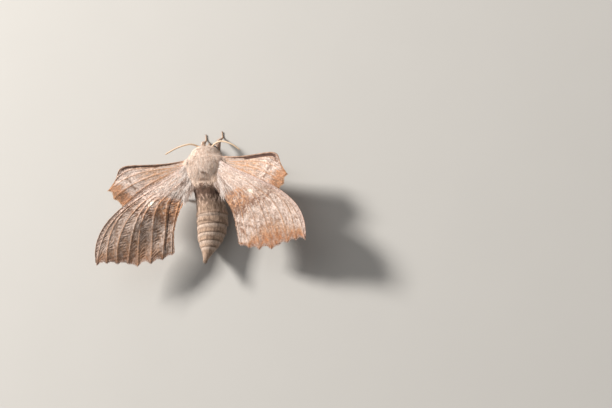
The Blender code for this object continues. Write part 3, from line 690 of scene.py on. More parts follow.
class Bed:
    """Roots of tufts on a surface, with their normals, flows and random draws."""

    def __init__(self, roots, normals, rng, chart):
        self.roots = roots
        self.normals = normals
        self.rng = rng
        self.chart = chart
        self.flows = None

    def vary(self, low=0.0, high=1.0):
        """Random number for each root."""
        return self.rng.uniform(low, high, len(self.roots))

    def comb(self, flow, jitter, clump):
        """Let the tufts lie along a flow in the surface, turned in clumps and at random."""
        flow = np.stack([np.broadcast_to(part, len(self.roots)) for part in flow], axis=1)
        flow = unit(flow - self.normals * (flow * self.normals).sum(axis=1, keepdims=True))
        side = np.cross(self.normals, flow)
        x, y, z = self.roots.T
        turn = self.rng.normal(0.0, jitter, len(self.roots))
        turn += clump * lattice_noise(x * 1.1 + z * 0.7 + 20.0, y * 1.1 + 40.0, SEEDS["comb"])
        self.flows = flow * np.cos(turn)[:, None] + side * np.sin(turn)[:, None]

    def grow(self, name, material, slot, lengths, widths, rise, curl, **values):
        """Piece of thin tapered tufts that rise from the surface and curl along the flow."""
        count, normals = len(self.roots), self.normals
        side = unit(np.cross(normals, self.flows))
        flows = unit(np.cross(side, normals))
        lengths, widths, rise, curl = (np.broadcast_to(array, count)[:, None]
                                       for array in (lengths, widths, rise, curl))
        turns = [(side * math.cos(turn), normals * math.sin(turn)) for turn in TUFT_TURNS]
        soft = unit(normals + SOFT_LIGHT * smooth(normals[:, 2:], -0.3, 0.5))
        local = [unit(soft + 0.4 * (aside + above)) for aside, above in turns]
        facing = np.stack(local + local + [unit(soft + 0.3 * flows)], axis=1)
        near = flows * np.cos(rise) + normals * np.sin(rise)
        far = flows * np.cos(rise - curl) + normals * np.sin(rise - curl)
        foot = self.roots - normals * ROOT_DEPTH
        middle = foot + near * lengths * 0.5
        points = np.empty((count, TUFT_POINTS, 3))
        for corner, (aside, above) in enumerate(turns):
            offset = aside * 0.5 + above * 0.3
            points[:, corner] = foot + offset * widths
            points[:, 3 + corner] = middle + offset * widths * 0.8
        points[:, 6] = middle + far * lengths * 0.5
        points[..., 2] = np.maximum(points[..., 2], FLOOR_CLEARANCE - BODY_HEIGHT)

        starts = TUFT_POINTS * np.arange(count)[:, None, None]
        corners = (TUFT_FACES[None] + starts).reshape(-1)
        mesh = bpy.data.meshes.new(name)
        mesh.vertices.add(count * TUFT_POINTS)
        mesh.vertices.foreach_set("co", to_frame(points.reshape(-1, 3)).ravel())
        mesh.loops.add(len(corners))
        mesh.loops.foreach_set("vertex_index", corners)
        mesh.polygons.add(len(corners) // 3)
        mesh.polygons.foreach_set("loop_start", np.arange(0, len(corners), 3))
        mesh.polygons.foreach_set("use_smooth", np.ones(len(corners) // 3, bool))
        charted = (self.chart(self.roots)[:, None, :] + TUFT_CHART[None]).reshape(-1, 2)
        mesh.uv_layers.new(name="OFBake").data.foreach_set("uv", charted[corners].ravel())
        store(mesh, "tip", np.tile(TUFT_TIPS, count))
        for key, array in {"root": self.roots, "tuft": self.vary(), **values}.items():
            store(mesh, key, np.repeat(array, TUFT_POINTS, axis=0))
        mesh.update(calc_edges=True)
        mesh.validate()
        mesh.normals_split_custom_set_from_vertices(facing.reshape(-1, 3))
        return finish_piece(linked(name, mesh), name, material, slot)


def scatter(item, count, weight, seed):
    """Bed of random roots on an object's faces, weighted by a function of their place."""
    mesh = item.data
    mesh.calc_loop_triangles()
    points, normals = to_moth(read(mesh)), read(mesh, "normal")
    corners = np.empty(len(mesh.loop_triangles) * 3, int)
    mesh.loop_triangles.foreach_get("vertices", corners)
    corners = corners.reshape(-1, 3)
    first, second, third = (points[corners[:, index]] for index in range(3))
    area = 0.5 * np.linalg.norm(np.cross(second - first, third - first), axis=1)
    chance = area * weight(*((first + second + third) / 3.0).T)
    rng = np.random.default_rng(seed)
    corners = corners[rng.choice(len(area), count, p=chance / chance.sum())]
    a, b = rng.random((2, count))
    flip = a + b > 1.0
    a[flip], b[flip] = 1.0 - a[flip], 1.0 - b[flip]
    share = np.stack([1.0 - a - b, a, b], axis=1)[:, :, None]
    return Bed((points[corners] * share).sum(axis=1), unit((normals[corners] * share).sum(axis=1)),
               rng, body_chart)


# Wings

def forewing_arch(point):
    """Height of the forewing's arch over its plane."""
    across = smooth(-point[..., 1], 1.0, 10.0)
    lift = 1.9 * smooth(point[..., 0], -2.0, 17.0) * (1.0 - across)
    return lift - 0.9 * smooth(point[..., 0], 17.0, 25.0) * smooth(-point[..., 1], 11.5, 15.5)


def hindwing_arch(point):
    """Height of the hindwing's arch over its plane."""
    return 2.2 * smooth(point[..., 0], 0.0, 24.0) * (1.0 - smooth(-point[..., 1], 3.0, 11.0))


# Hair on the wing's base: number of tufts, shares along and across the wing that it covers,
# and its shortest and longest tuft; then the number of scales in the fringe
Coat = namedtuple("Coat", "hairs along across lengths scales")
HAIR_CROWDING = 1.5

# Sweep, lift and tilt of each kind of wing are for the left and the right wing
Kind = namedtuple("Kind", "name root veins hinge poses arch coat")
FOREWING = Kind("forewing", FOREWING_ROOT, FOREWING_VEINS, np.array([4.6, 1.5, 2.0]),
                ((45.5, 12.0, 6.0), (44.5, 12.0, 2.0)), forewing_arch,
                Coat(9000, (0.03, 0.36), (0.10, 0.99), (1.3, 3.2), 1500))
HINDWING = Kind("hindwing", HINDWING_ROOT, HINDWING_VEINS, np.array([4.6, 2.5, 0.8]),
                ((13.6, 11.0, 0.0), (17.0, 11.0, 0.0)), hindwing_arch,
                Coat(2200, (0.05, 0.42), (0.06, 0.6), (0.8, 1.9), 1100))


def vein_curves(kind):
    """Shares of the length, points and length of each vein's cubic curve."""
    t = np.linspace(0.0, 1.0, CURVE_POINTS)[:, None]
    front, rear = (np.array(end) for end in kind.root)
    curves = []
    for index, vein in enumerate(kind.veins):
        a = front + (rear - front) * index / (len(kind.veins) - 1)
        b, c, d = (np.array(point) for point in (vein.near, vein.far, vein.tip))
        points = a * (1 - t) ** 3 + b * 3 * t * (1 - t) ** 2 + c * 3 * t * t * (1 - t) + d * t ** 3
        steps = np.linalg.norm(np.diff(points, axis=0), axis=1)
        lengths = np.concatenate([[0.0], np.cumsum(steps)])
        curves.append((lengths / lengths[-1], points, lengths[-1]))
    return curves


def panel_ends(kind, curves, gap, part, share):
    """Points on the veins before and behind a panel, drawn back by the notch of its margin."""
    notch = kind.veins[gap].notch * np.sin(math.pi * part) / NOTCH_REACH
    back = share * (1.0 - notch)
    return [np.stack([np.interp(back, shares, points[:, axis]) for axis in (0, 1)], axis=-1)
            for shares, points, _ in curves[gap:gap + 2]]


def wing_plane(kind, per_gap, rows):
    """Plane points of a wing over rows and columns, with values for its relief and colours."""
    curves = vein_curves(kind)
    share = np.linspace(0.0, 1.0, rows)[:, None]
    gaps = len(kind.veins) - 1
    thin = VEIN_WIDTH * (1.0 - 0.45 * share)
    panels = []
    for gap in range(gaps):
        part = np.linspace(0.0, 1.0, per_gap + 1)[:None if gap == gaps - 1 else -1][None, :]
        near, far = panel_ends(kind, curves, gap, part, share)
        width = np.linalg.norm(far - near, axis=-1)
        ridges = [smooth((share - kind.veins[gap + index].rise) / 0.12 + 1.0)
                  * np.exp(-(away * np.maximum(width, 0.05) / thin) ** 2)
                  for index, away in enumerate((part, 1 - part))]
        length = curves[gap][2] * (1 - part) + curves[gap + 1][2] * part
        panels.append({"point": near + (far - near) * part[..., None],
                       "part": np.broadcast_to(part, width.shape),
                       "gap": np.full(width.shape, gap, float), "width": width,
                       "length": np.broadcast_to(length, width.shape),
                       "vein": np.maximum(*ridges)})
    grid = {key: np.concatenate([panel[key] for panel in panels], axis=1) for key in panels[0]}
    grid["along"] = np.broadcast_to(share, grid["part"].shape)
    grid["across"] = (grid["gap"] + grid["part"]) / gaps
    return grid


def mirrored(places, side):
    """Right-handed places turned to the given side."""
    return places * np.array([side.sign, 1.0, 1.0])


def wing_matrix(pose):
    """Rotation of a right wing from its plane to its posture."""
    sweep, lift, tilt = (math.radians(angle) for angle in pose)
    return np.array(Matrix.Rotation(-lift, 3, "Y") @ Matrix.Rotation(tilt, 3, "X")
                    @ Matrix.Rotation(-sweep, 3, "Z"))


def wing_places(kind, side, point):
    """Places in the moth's frame of plane points, as on a right wing in the side's posture."""
    flat = np.concatenate([point, np.zeros(point.shape[:-1] + (1,))], axis=-1)
    places = kind.hinge + flat @ wing_matrix(kind.poses[side.index]).T
    places[..., 2] += kind.arch(point)
    if kind is HINDWING:
        places[..., 2] = np.minimum(places[..., 2], hindwing_limit(side, places))
    return places


def hindwing_limit(side, places):
    """Greatest height of the hindwing under the forewing."""
    matrix = wing_matrix(FOREWING.poses[side.index])
    point = (places[..., :2] - FOREWING.hinge[:2]) @ np.linalg.inv(matrix[:2, :2]).T
    costa = vein_curves(FOREWING)[0][1]
    edge = np.interp(point[..., 0], costa[:, 0], costa[:, 1])
    ahead = np.where(point[..., 0] > 0.0, np.maximum(0.0, point[..., 1] - edge - 0.8), 0.0)
    return wing_places(FOREWING, side, point)[..., 2] + 0.3 * ahead - WING_LAYER_SPACING


def wing_relief(grid, seed, wrinkle):
    """Height of veins, panels and fine cross wrinkles over a wing's middle surface."""
    part, gap, share = grid["part"], grid["gap"], grid["along"]
    width, along = np.minimum(grid["width"], 4.0), share * grid["length"]
    panel = np.sin(math.pi * part)
    outer = 0.35 + 0.65 * smooth(share, 0.30, 0.60)
    fold = np.exp(-((part * width - 0.55) / 0.3) ** 2) * (gap == gap.max() - 1)
    fold = fold * smooth(share, 0.1, 0.2) * (1.0 - smooth(share, 0.92, 1.0))
    bend = lattice_noise(along * 0.35 + 7 * gap, part * 2.0 + 3.0, seed)
    oblique = along + part * width
    amount = 0.45 + 0.55 * lattice_noise(along * 0.6 + 11 * gap, part * 3.0, seed + 1)
    ripple = np.sin(2 * math.pi * (oblique / WRINKLE_STEP + bend * 1.1)) * amount
    ripple += 0.9 * lattice_noise(oblique * 1.5 + 5 * gap,
                                  (part * width - 0.5 * along) * 0.8 + 30.0, seed + 2)
    ripple *= np.sqrt(panel.clip(0.0))
    ripple *= smooth(share, 0.22, 0.45) * (1.0 - 0.6 * smooth(share, 0.93, 1.0))
    grid["crease"], grid["fold"] = fold, ripple
    relief = outer * (VEIN_HEIGHT * grid["vein"] - PANEL_SAG * width * panel)
    relief -= CREASE_DEPTH * fold
    return relief + wrinkle * ripple


def wing_values(kind, grid):
    """Values that place a wing's bands, spots, lines and margin for its colours."""
    point, across = grid["point"], grid["across"]
    length = grid["along"] * grid["length"]
    costa = vein_curves(kind)[0][1]
    values = {key: grid[key] for key in ("vein", "across", "along", "fold", "crease")}
    values["costal"] = np.min([np.linalg.norm(point - place, axis=-1) for place in costa], axis=0)
    values["margin"] = grid["length"] - length
    values["flow"] = np.stack([length, across * FLOW_BREADTH, np.zeros_like(length)], axis=-1)
    values["plane"] = np.stack([point[..., 0], point[..., 1], np.zeros_like(length)], axis=-1)
    zone = 0.4 + 3.2 * smooth(across, 0.15, 0.32)
    if kind is FOREWING:
        zone = np.interp(across, *RIM_WIDTH)
        reach = np.linalg.norm(point - np.array(BAND_CENTRE), axis=-1)
        inner, outer = np.interp(across, *BAND_INNER), np.interp(across, *BAND_OUTER)
        values["band"] = (reach - inner) / (outer - inner)
        out, ahead = np.moveaxis(point - np.array(DISC_PLACE), -1, 0)
        values["disc"] = np.hypot(out * 0.9 - ahead * 0.35, ahead * 1.2)
    values["rim"] = 1.0 - values["margin"] / zone
    return values


def wing_mesh(places, values, thickness):
    """Thin plate over a grid of places, with values stored on its points."""
    rows, columns = places.shape[:2]
    activate()
    bpy.ops.mesh.primitive_grid_add(x_subdivisions=columns - 1, y_subdivisions=rows - 1, size=1.0)
    item = bpy.context.active_object
    mesh = item.data
    if len(mesh.vertices) != rows * columns:
        raise RuntimeError(f"the wing's grid has {len(mesh.vertices)} points")
    item.matrix_world = Matrix.Identity(4)
    move(mesh, to_frame(places.reshape(-1, 3)))
    if sum(polygon.normal.z for polygon in mesh.polygons) < 0:
        mesh.flip_normals()
    for key, array in values.items():
        store(mesh, key, array.reshape(-1, *array.shape[2:]))
    while mesh.uv_layers:
        mesh.uv_layers.remove(mesh.uv_layers[0])
    apply_modifier(item, "SOLIDIFY", thickness=thickness, offset=-1.0)
    mesh.shade_smooth()
    return item


def wing(kind, side, sizes, material):
    """One wing with ridged veins and wrinkles, a hindwing with its front edge turned up."""
    rows, wrinkle = sizes.wing_rows, sizes.fore_wrinkle[side.index]
    if kind is HINDWING:
        rows, wrinkle = int(HINDWING_ROWS_SHARE * rows), sizes.hind_wrinkle
    grid = wing_plane(kind, sizes.wing_detail, rows)
    places = wing_places(kind, side, grid["point"])
    relief = wing_relief(grid, SEEDS[kind.name][side.index], wrinkle / MM)
    values = wing_values(kind, grid)
    lift = PLATE_LIFT + relief
    if kind is HINDWING:
        curl = 0.25 * (1.0 - smooth(values["costal"], 0.0, 0.7)) - 0.15 * np.exp(
            -((values["costal"] - 0.9) / 0.4) ** 2)
        shown = smooth(grid["along"], 0.1, 0.3) * (1.0 - smooth(grid["along"], 0.85, 1.0))
        lift = PLATE_LIFT - HINDWING_DROP + HINDWING_RELIEF * relief + curl * shown
    places[..., 2] += lift
    item = wing_mesh(mirrored(places, side), values, sizes.wing_thickness)
    return finish_piece(item, f"{kind.name}_skin_{side.name}", material, f"{kind.name}_scales",
                        f"{kind.name}_{side.name}")


def wing_bed(kind, side, use, count, along, across, crowd=1.0):
    """Bed on a wing's upper face, with outward flows and the shares across and along."""
    rng = np.random.default_rng(SEEDS[use][side.index])
    curves, gaps = vein_curves(kind), len(kind.veins) - 1
    u = rng.uniform(*across, count) * gaps
    start, end = along
    v = start + (end - start) * rng.random(count) ** crowd
    gap = np.minimum(u.astype(int), gaps - 1)
    part = u - gap
    ends = []
    for step in (0.0, 0.02):
        point = np.zeros((count, 2))
        for index in range(gaps):
            here = gap == index
            near, far = panel_ends(kind, curves, index, part[here], v[here] - step)
            point[here] = near + (far - near) * part[here][:, None]
        ends.append(mirrored(wing_places(kind, side, point), side))
    roots, behind = ends
    roots[:, 2] += PLATE_LIFT
    flows = unit(roots - behind - np.array([0, 0, PLATE_LIFT]))
    normals = np.tile([0.0, 0.0, 1.0], (count, 1))
    return Bed(roots, normals, rng, wing_chart), flows, u / gaps, v


def wing_hair(kind, side, material):
    """Long hair scales that lie on the base of a wing."""
    start, end = kind.coat.along
    bed, flows, u, v = wing_bed(kind, side, "hair", kind.coat.hairs, (start, end),
                                kind.coat.across, HAIR_CROWDING)
    edge = smooth(u, 0.88, 0.99)
    near = 1.0 - smooth(v, start, start + 0.12)
    flows = flows + edge[:, None] * np.array([0.12 - side.sign * 0.33, -0.3, -0.1])
    bed.comb(flows.T, 0.12, 0.25)
    strand = 0.5 + 0.5 * lattice_noise(u * 17.0, v * 5.0, SEEDS["strand"])
    bed.grow(f"hair_{kind.name}_{side.name}", material, f"{kind.name}_scales",
             bed.vary(*kind.coat.lengths) * (1.0 + 0.4 * edge), bed.vary(0.08, 0.15),
             bed.vary(0.06, 0.26) + 0.12 * near, 0.22 + 0.1 * near, strand=strand)


def wing_fringe(kind, side, material):
    """Short fringe of scales along the outer margin of a wing."""
    bed, flows = wing_bed(kind, side, "fringe", kind.coat.scales, (0.985, 0.999),
                          (0.03, 0.99))[:2]
    bed.roots[:, 2] -= FRINGE_DEPTH
    bed.comb(flows.T, 0.10, 0.1)
    bed.grow(f"fringe_{kind.name}_{side.name}", material, f"{kind.name}_scales",
             bed.vary(0.45, 0.75), bed.vary(0.10, 0.16), 0.02, 0.05, strand=bed.vary())


# Body

def ball(centre, radius, detail, stretch=(1.0, 1.0, 1.0)):
    """Round or stretched mesh object at a place of the moth's frame."""
    activate()
    bpy.ops.mesh.primitive_ico_sphere_add(subdivisions=detail, radius=radius * MM,
                                          location=tuple(to_frame(centre)), scale=stretch)
    bpy.ops.object.transform_apply(location=True, rotation=False, scale=True)
    return bpy.context.active_object


def eye_place(side):
    """Middle and radius of an eye, from its solid."""
    low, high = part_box(f"eye_{side.name}")
    return to_moth(0.5 * (low + high)), 0.5 * (high.z - low.z) / MM


def edit_all(operator, **values):
    """Run an editing step on all points and faces of the active object."""
    bpy.ops.object.mode_set(mode="EDIT")
    bpy.ops.mesh.select_all(action="SELECT")
    operator(**values)
    bpy.ops.object.mode_set(mode="OBJECT")


def body_skin(sizes, material):
    """One skin over head, thorax and abdomen, drawn in by the depth of the coat."""
    cores = [ball(centre, radius * 0.95, 3) for centre, radius in map(eye_place, SIDES)]
    cores += [ball(place, 1.0, 4, radii) for place, radii in FILLINGS]
    copies = [linked(f"copy_{name}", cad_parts[name].data.copy())
              for name in ("head", "thorax", "abdomen")]
    item = join(*copies, *cores)
    edit_all(bpy.ops.mesh.remove_doubles, threshold=1e-6)
    apply_modifier(item, "DISPLACE", strength=SKIN_SWELL * MM, mid_level=0.0)
    apply_modifier(item, "REMESH", mode="VOXEL", voxel_size=SKIN_VOXEL * MM)
    apply_modifier(item, "SMOOTH", factor=0.5, iterations=4)
    mesh = item.data
    ridged = read(mesh)
    apply_modifier(item, "SMOOTH", factor=0.5, iterations=150)
    along = to_moth(ridged)[:, 1]
    neck = smooth(along, 2.0, 3.6) * (1.0 - smooth(along, 4.8, 5.8))
    waist = smooth(along, -15.5, -11.5) * (1.0 - smooth(along, -4.2, -2.4))
    share = (neck + waist)[:, None]
    points = ridged * (1.0 - share) + read(mesh) * share
    move(mesh, points)
    places = to_moth(points)
    furry = smooth(places[:, 1], THORAX_REAR - 1.2, THORAX_REAR + 0.8)
    depth = (sizes.thorax_core - sizes.abdomen_core) * furry + sizes.abdomen_core
    places -= read(mesh, "normal") * (SKIN_SWELL + depth / MM)[:, None]
    places[:, 2] = np.maximum(places[:, 2], SKIN_LOWEST)
    move(mesh, to_frame(places))
    mesh.shade_smooth()
    store(mesh, "root", places)
    return finish_piece(item, "body_skin", material, "thorax_fur", "head", "thorax", "abdomen")


def thorax_coat(skin, sizes, material):
    """Dense fur of the thorax, lying backwards."""
    def weight(x, y, z):
        return ((y > FUR_BORDER - 0.8) & (y < 4.9)) * (0.6 + 0.4 * (z > -1.5))
    bed = scatter(skin, sizes.thorax_tufts, weight, SEEDS["thorax"])
    x, y, z = bed.roots.T
    bed.comb((x * 0.06, -1.0, 0.0), 0.22, 0.55)
    rear = smooth(-y, 3.6, 5.6)
    lengths = sizes.thorax_length / MM * bed.vary(0.65, 1.25)
    lengths *= 1.0 + rear * bed.vary(0.0, 0.5)
    lengths *= 0.6 + 0.4 * smooth(5.0 - y, 0.0, 2.0)
    lengths *= 1.0 - 0.4 * smooth(-z, 1.5, 3.5)
    bed.grow("coat_thorax", material, "thorax_fur", lengths,
             bed.vary(0.09, 0.17) * (1.0 - 0.2 * rear),
             bed.vary(0.22, 0.52) * (1.0 - 0.7 * rear), 0.42 - 0.25 * rear)


def shoulder_coat(skin, sizes, material):
    """Longer hair of the shoulders that runs out and back over the wing bases."""
    def aside(x):
        return smooth(np.abs(x), 2.9, 4.8)

    def ahead(y):
        return smooth(y, 0.5, 2.5)

    def weight(x, y, z):
        return (aside(x) * (z > -1.2 * ahead(y)) * (y > -5.4) * (y < 4.4) * (1.0 + ahead(y)))
    bed = scatter(skin, sizes.shoulder_tufts, weight, SEEDS["shoulders"])
    x, y, z = bed.roots.T
    bed.comb((np.sign(x) * aside(x) * (0.8 + 0.8 * ahead(y)), -1.0 + 0.4 * ahead(y),
              0.15 + 0.25 * ahead(y)), 0.20, 0.6)
    bed.grow("coat_shoulders", material, "thorax_fur",
             bed.vary(1.1, 2.6) * (0.5 + 0.5 * aside(x)), bed.vary(0.10, 0.17),
             bed.vary(0.15, 0.50), 0.6)


def head_coat(skin, sizes, material):
    """Short fur of the head, forward over the face and back on the crown."""
    eyes = [eye_place(side) for side in SIDES]

    def weight(x, y, z):
        points = np.stack([x, y, z], axis=1)
        clear = [np.linalg.norm(points - centre, axis=1) > radius * 1.02
                 for centre, radius in eyes]
        return (y > 4.2) * np.all(clear, axis=0)
    bed = scatter(skin, sizes.head_tufts, weight, SEEDS["head"])
    x, y, z = bed.roots.T
    crown = smooth(z, -1.6, -0.2)
    bed.comb((x * 0.25, 1.0 - 2.0 * crown * smooth(6.7 - y, 0.0, 0.6), -0.9 * (1.0 - crown)),
             0.25, 0.5)
    bed.grow("coat_head", material, "head_fur", sizes.head_length / MM * bed.vary(0.6, 1.25),
             bed.vary(0.08, 0.15), bed.vary(0.25, 0.60), 0.4)


def abdomen_coat(skin, sizes, material):
    """Short flat fur of the abdomen, with a small brush at the tail."""
    def weight(x, y, z):
        return (y < FUR_BORDER) & (z > 0.25 - BODY_HEIGHT)
    bed = scatter(skin, sizes.abdomen_tufts, weight, SEEDS["abdomen"])
    bed.comb((0.0, -1.0, 0.0), 0.18, 0.45)
    y = bed.roots[:, 1]
    front, brush = smooth(y, -10.5, -7.0), smooth(-y, 28.5, 29.4)
    lengths = sizes.abdomen_length / MM * bed.vary(0.7, 1.25)
    lengths *= 1.0 + front * bed.vary(0.2, 1.6)
    lengths *= 1.0 - 0.4 * smooth(-y, 24.0, 28.0)
    lengths *= 1.0 + 2.0 * brush
    bed.grow("coat_abdomen", material, "abdomen_fur", lengths, bed.vary(0.10, 0.18),
             bed.vary(0.10, 0.30) * (1.0 + 0.8 * front + brush),
             0.2 + 0.3 * front - 0.2 * brush)


def segment_fringes(skin, sizes, material):
    """Rows of longer scales along the rear edge of each segment."""
    def weight(x, y, z):
        near = np.min([np.abs(y - line - 0.9) for line in RING_LINES], axis=0)
        return (near < 0.22) * (z > 0.3 - BODY_HEIGHT)
    bed = scatter(skin, sizes.fringe_tufts, weight, SEEDS["segments"])
    bed.comb((0.0, -1.0, 0.0), 0.10, 0.15)
    bed.grow("coat_segments", material, "abdomen_fur", bed.vary(0.55, 0.85),
             bed.vary(0.14, 0.22), bed.vary(0.20, 0.34), 0.25)


# Head parts and legs

def nearest(path, points):
    """Number of the path's point that is nearest to each of some points."""
    return np.array([np.argmin(((path - point) ** 2).sum(axis=1)) for point in points])


def tube(path, radii, detail):
    """Round closed tube along a path of the moth's frame, as a mesh with a value along it."""
    activate()
    bpy.ops.curve.primitive_bezier_curve_add()
    item = bpy.context.active_object
    curve = item.data
    curve.splines.clear()
    line = curve.splines.new("POLY")
    line.points.add(len(path) - 1)
    places = to_frame(path)
    for point, place, radius in zip(line.points, places, radii):
        point.co = (*place, 1.0)
        point.radius = radius
    item.matrix_world = Matrix.Identity(4)
    curve.dimensions = "3D"
    curve.bevel_depth = MM
    curve.bevel_resolution = detail
    curve.use_fill_caps = True
    bpy.ops.object.convert(target="MESH")
    item = bpy.context.active_object
    mesh = item.data
    points = read(mesh)
    points[:, 2] = np.maximum(points[:, 2], FLOOR_CLEARANCE * MM)
    move(mesh, points)
    store(mesh, "along", nearest(places, points) / (len(path) - 1))
    mesh.shade_smooth()
    return item


def thorn(path, thick, thin):
    """Small pointed tube along a bent path."""
    path = spline(path, 4)
    return tube(path, np.linspace(thick, thin, len(path)), 1)


def antenna(side, material):
    """Slender antenna of many small rings on a stout base."""
    path = spline(ANTENNA_PATHS[side.name], 30)
    share = np.linspace(0.0, 1.0, len(path))
    radii = ANTENNA_RADIUS * (1.0 - 0.25 * share ** 1.5) * (1.0 - 0.75 * smooth(share, 0.96, 1.0))
    radii *= 1.0 + 0.10 * np.abs(np.sin(share * math.pi * ANTENNA_RINGS))
    radii += 0.16 * np.exp(-((share - 0.16) / 0.045) ** 2)
    finish_piece(tube(path, radii, 3), f"antenna_flagellum_{side.name}", material, "antenna",
                 f"antenna_{side.name}")


def eye(side, material):
    """Round eye whose lenses are raised as small facets."""
    centre, radius = eye_place(side)
    item = ball(centre, radius, 5)
    edit_all(bpy.ops.mesh.inset, thickness=LENS_RIM * MM, depth=LENS_RISE * MM,
             use_individual=True)
    item.data.shade_smooth()
    finish_piece(item, f"eye_ball_{side.name}", material, "eye", f"eye_{side.name}")


def palp(side, skin, fur):
    """One palp with fur that lies forwards."""
    low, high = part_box(f"palp_{side.name}")
    ends = ((-0.1 * side.sign, -1.1, -0.5), (0.0, 0.0, 0.0), (0.1 * side.sign, 0.75, 0.35))
    path = spline(to_moth(0.5 * (low + high)) + np.array(ends), 8)
    share = np.linspace(0.0, 1.0, len(path))
    radii = PALP_RADIUS * np.sqrt(np.clip(1.0 - (2.0 * share - 1.0) ** 2, 0.05, 1.0))
    core = finish_piece(tube(path, radii, 3), f"palp_core_{side.name}", skin, "palp_fur",
                        f"palp_{side.name}")
    bed = scatter(core, PALP_TUFTS, lambda x, y, z: y > 5.0, SEEDS["palp"])
    bed.comb((0.1 * side.sign, 1.0, 0.5), 0.2, 0.2)
    bed.grow(f"coat_palp_{side.name}", fur, "palp_fur", bed.vary(0.45, 0.8),
             bed.vary(0.07, 0.11), bed.vary(0.3, 0.6), 0.4, strand=bed.vary())


def leg(pair, side, skin, scales):
    """One leg with waisted joints, a five-part foot, claws, spurs and a coat of flat scales."""
    joints = LEGS[pair].get(side.name) or LEGS[pair]["both"]
    course = spline(mirrored(np.array(joints), side), 16)
    path = course.copy()
    share = np.linspace(0.0, 1.0, len(path))
    radii = np.interp(share, np.linspace(0.0, 1.0, len(LEG_RADII)), LEG_RADII)
    for joint in LEG_JOINTS:
        radii = radii * (1.0 - JOINT_WAIST * np.exp(-((share - joint) / JOINT_LENGTH) ** 2))
    path[:, 2] = np.maximum(path[:, 2], radii + FLOOR_CLEARANCE - BODY_HEIGHT)
    foot, ahead = path[-1], unit(path[-1] - path[-4])
    knee = int(KNEE * (len(path) - 1))
    start, along = path[knee - 2], unit(path[knee + 3] - path[knee])
    across = unit(np.cross(ahead, [0.0, 0.0, 1.0]))
    claws, spurs = [], []
    pieces = [tube(path, radii, 3)]
    for aside in (-across, across):
        claws.append([path[-2], foot + ahead * 0.18 + aside * 0.12,
                      foot + ahead * 0.36 + aside * 0.22 - np.array([0, 0, 0.08])])
        spurs.append([start, start + along * 0.5 + aside * 0.35,
                      start + along * 1.05 + aside * 0.45])
    spurs = np.array(spurs)
    spurs[..., 2] = np.maximum(spurs[..., 2], 0.1 - BODY_HEIGHT)
    pieces += [thorn(claw, *CLAW_RADII) for claw in claws]
    pieces += [thorn(spur, *SPUR_RADII) for spur in spurs]
    limb = finish_piece(join(*pieces), f"limb_{pair}_{side.name}", skin, "leg_scales",
                        f"leg_{pair}_{side.name}")

    bed = scatter(limb, LEG_TUFTS, lambda x, y, z: z > 0.12 - BODY_HEIGHT, SEEDS["leg"])
    steps = unit(np.diff(course, axis=0))
    index = nearest(course[:-1], bed.roots)
    part = index / len(steps)
    thigh = 1.0 - smooth(part, 0.38, 0.66)
    bed.comb(steps[index].T, 0.15, 0.1)
    bed.grow(f"coat_leg_{pair}_{side.name}", scales, "leg_scales",
             bed.vary(0.25, 0.45) * (1.0 + 1.7 * thigh), bed.vary(0.07, 0.12),
             bed.vary(0.08, 0.25) + 0.25 * thigh, 0.1 + 0.2 * thigh, along=part)


# Stage

def view_axes():
    """Right, up and back directions of the photograph's view at the moth."""
    right = np.array([math.cos(VIEW_RIGHT), 0.0, -math.sin(VIEW_RIGHT)])
    back = np.array([math.sin(VIEW_RIGHT), 0.0, math.cos(VIEW_RIGHT)])
    up = np.array([0.0, 1.0, 0.0])
    tilted = back * math.cos(VIEW_BEHIND) - up * math.sin(VIEW_BEHIND)
    raised = up * math.cos(VIEW_BEHIND) + back * math.sin(VIEW_BEHIND)
    turned = right * math.cos(VIEW_ROLL) + raised * math.sin(VIEW_ROLL)
    return turned, raised * math.cos(VIEW_ROLL) - right * math.sin(VIEW_ROLL), tilted


def add_camera():
    """Camera at the photograph's angle, with the moth left of the middle of the frame."""
    right, up, back = view_axes()
    place = ORIGIN + back * VIEW_DISTANCE * MM
    aside = (0.5 * IMAGE_WIDTH - MOTH_PIXEL[0]) / PIXELS_PER_MM
    below = (0.5 * IMAGE_HEIGHT - MOTH_PIXEL[1]) / PIXELS_PER_MM
    axis = unit(place - (ORIGIN + (right * aside - up * below) * MM))
    across = unit(right - axis * (right @ axis))
    data = bpy.data.cameras.new("photo_view")
    data.sensor_width = SENSOR
    data.lens = SENSOR * PIXELS_PER_MM * VIEW_DISTANCE / IMAGE_WIDTH
    data.clip_start = CLIP_START
    camera = linked("photo_view", data)
    rotation = Matrix((across, np.cross(axis, across), axis)).transposed().to_4x4()
    camera.matrix_world = Matrix.Translation(Vector(place)) @ rotation
    bpy.context.scene.camera = camera


def add_lamp(name, direction, distance, size, power, colour):
    """Square studio lamp that faces the moth from a direction."""
    data = bpy.data.lights.new(name, "AREA")
    data.size = size
    data.energy = power
    data.color = colour
    lamp = linked(name, data)
    direction = Vector(direction).normalized()
    lamp.location = Vector(ORIGIN) + direction * distance
    lamp.rotation_euler = direction.to_track_quat("Z", "Y").to_euler()


def add_floor(colours):
    """Plain pale floor under the moth."""
    activate()
    bpy.ops.mesh.primitive_plane_add(size=FLOOR_SIZE, location=(0.0, 0.0, 0.0))
    floor = bpy.context.active_object
    floor.name = "floor"
    surface = Surface("floor_paper", 0.9)
    grain = surface.place().noise(0.05)
    shaded = [FLOOR_SHADE * part for part in colours.floor]
    floor.data.materials.append(surface.finish(surface.mix(grain, colours.floor, shaded)))


def add_air(scene):
    """Soft light from all round."""
    world = bpy.data.worlds.new("studio_air")
    world.use_nodes = True
    air = world.node_tree.nodes["Background"]
    air.inputs["Color"].default_value = AIR_COLOUR
    air.inputs["Strength"].default_value = AIR_STRENGTH
    scene.world = world
    scene.view_settings.view_transform = "Standard"


# Settings, operators and panel

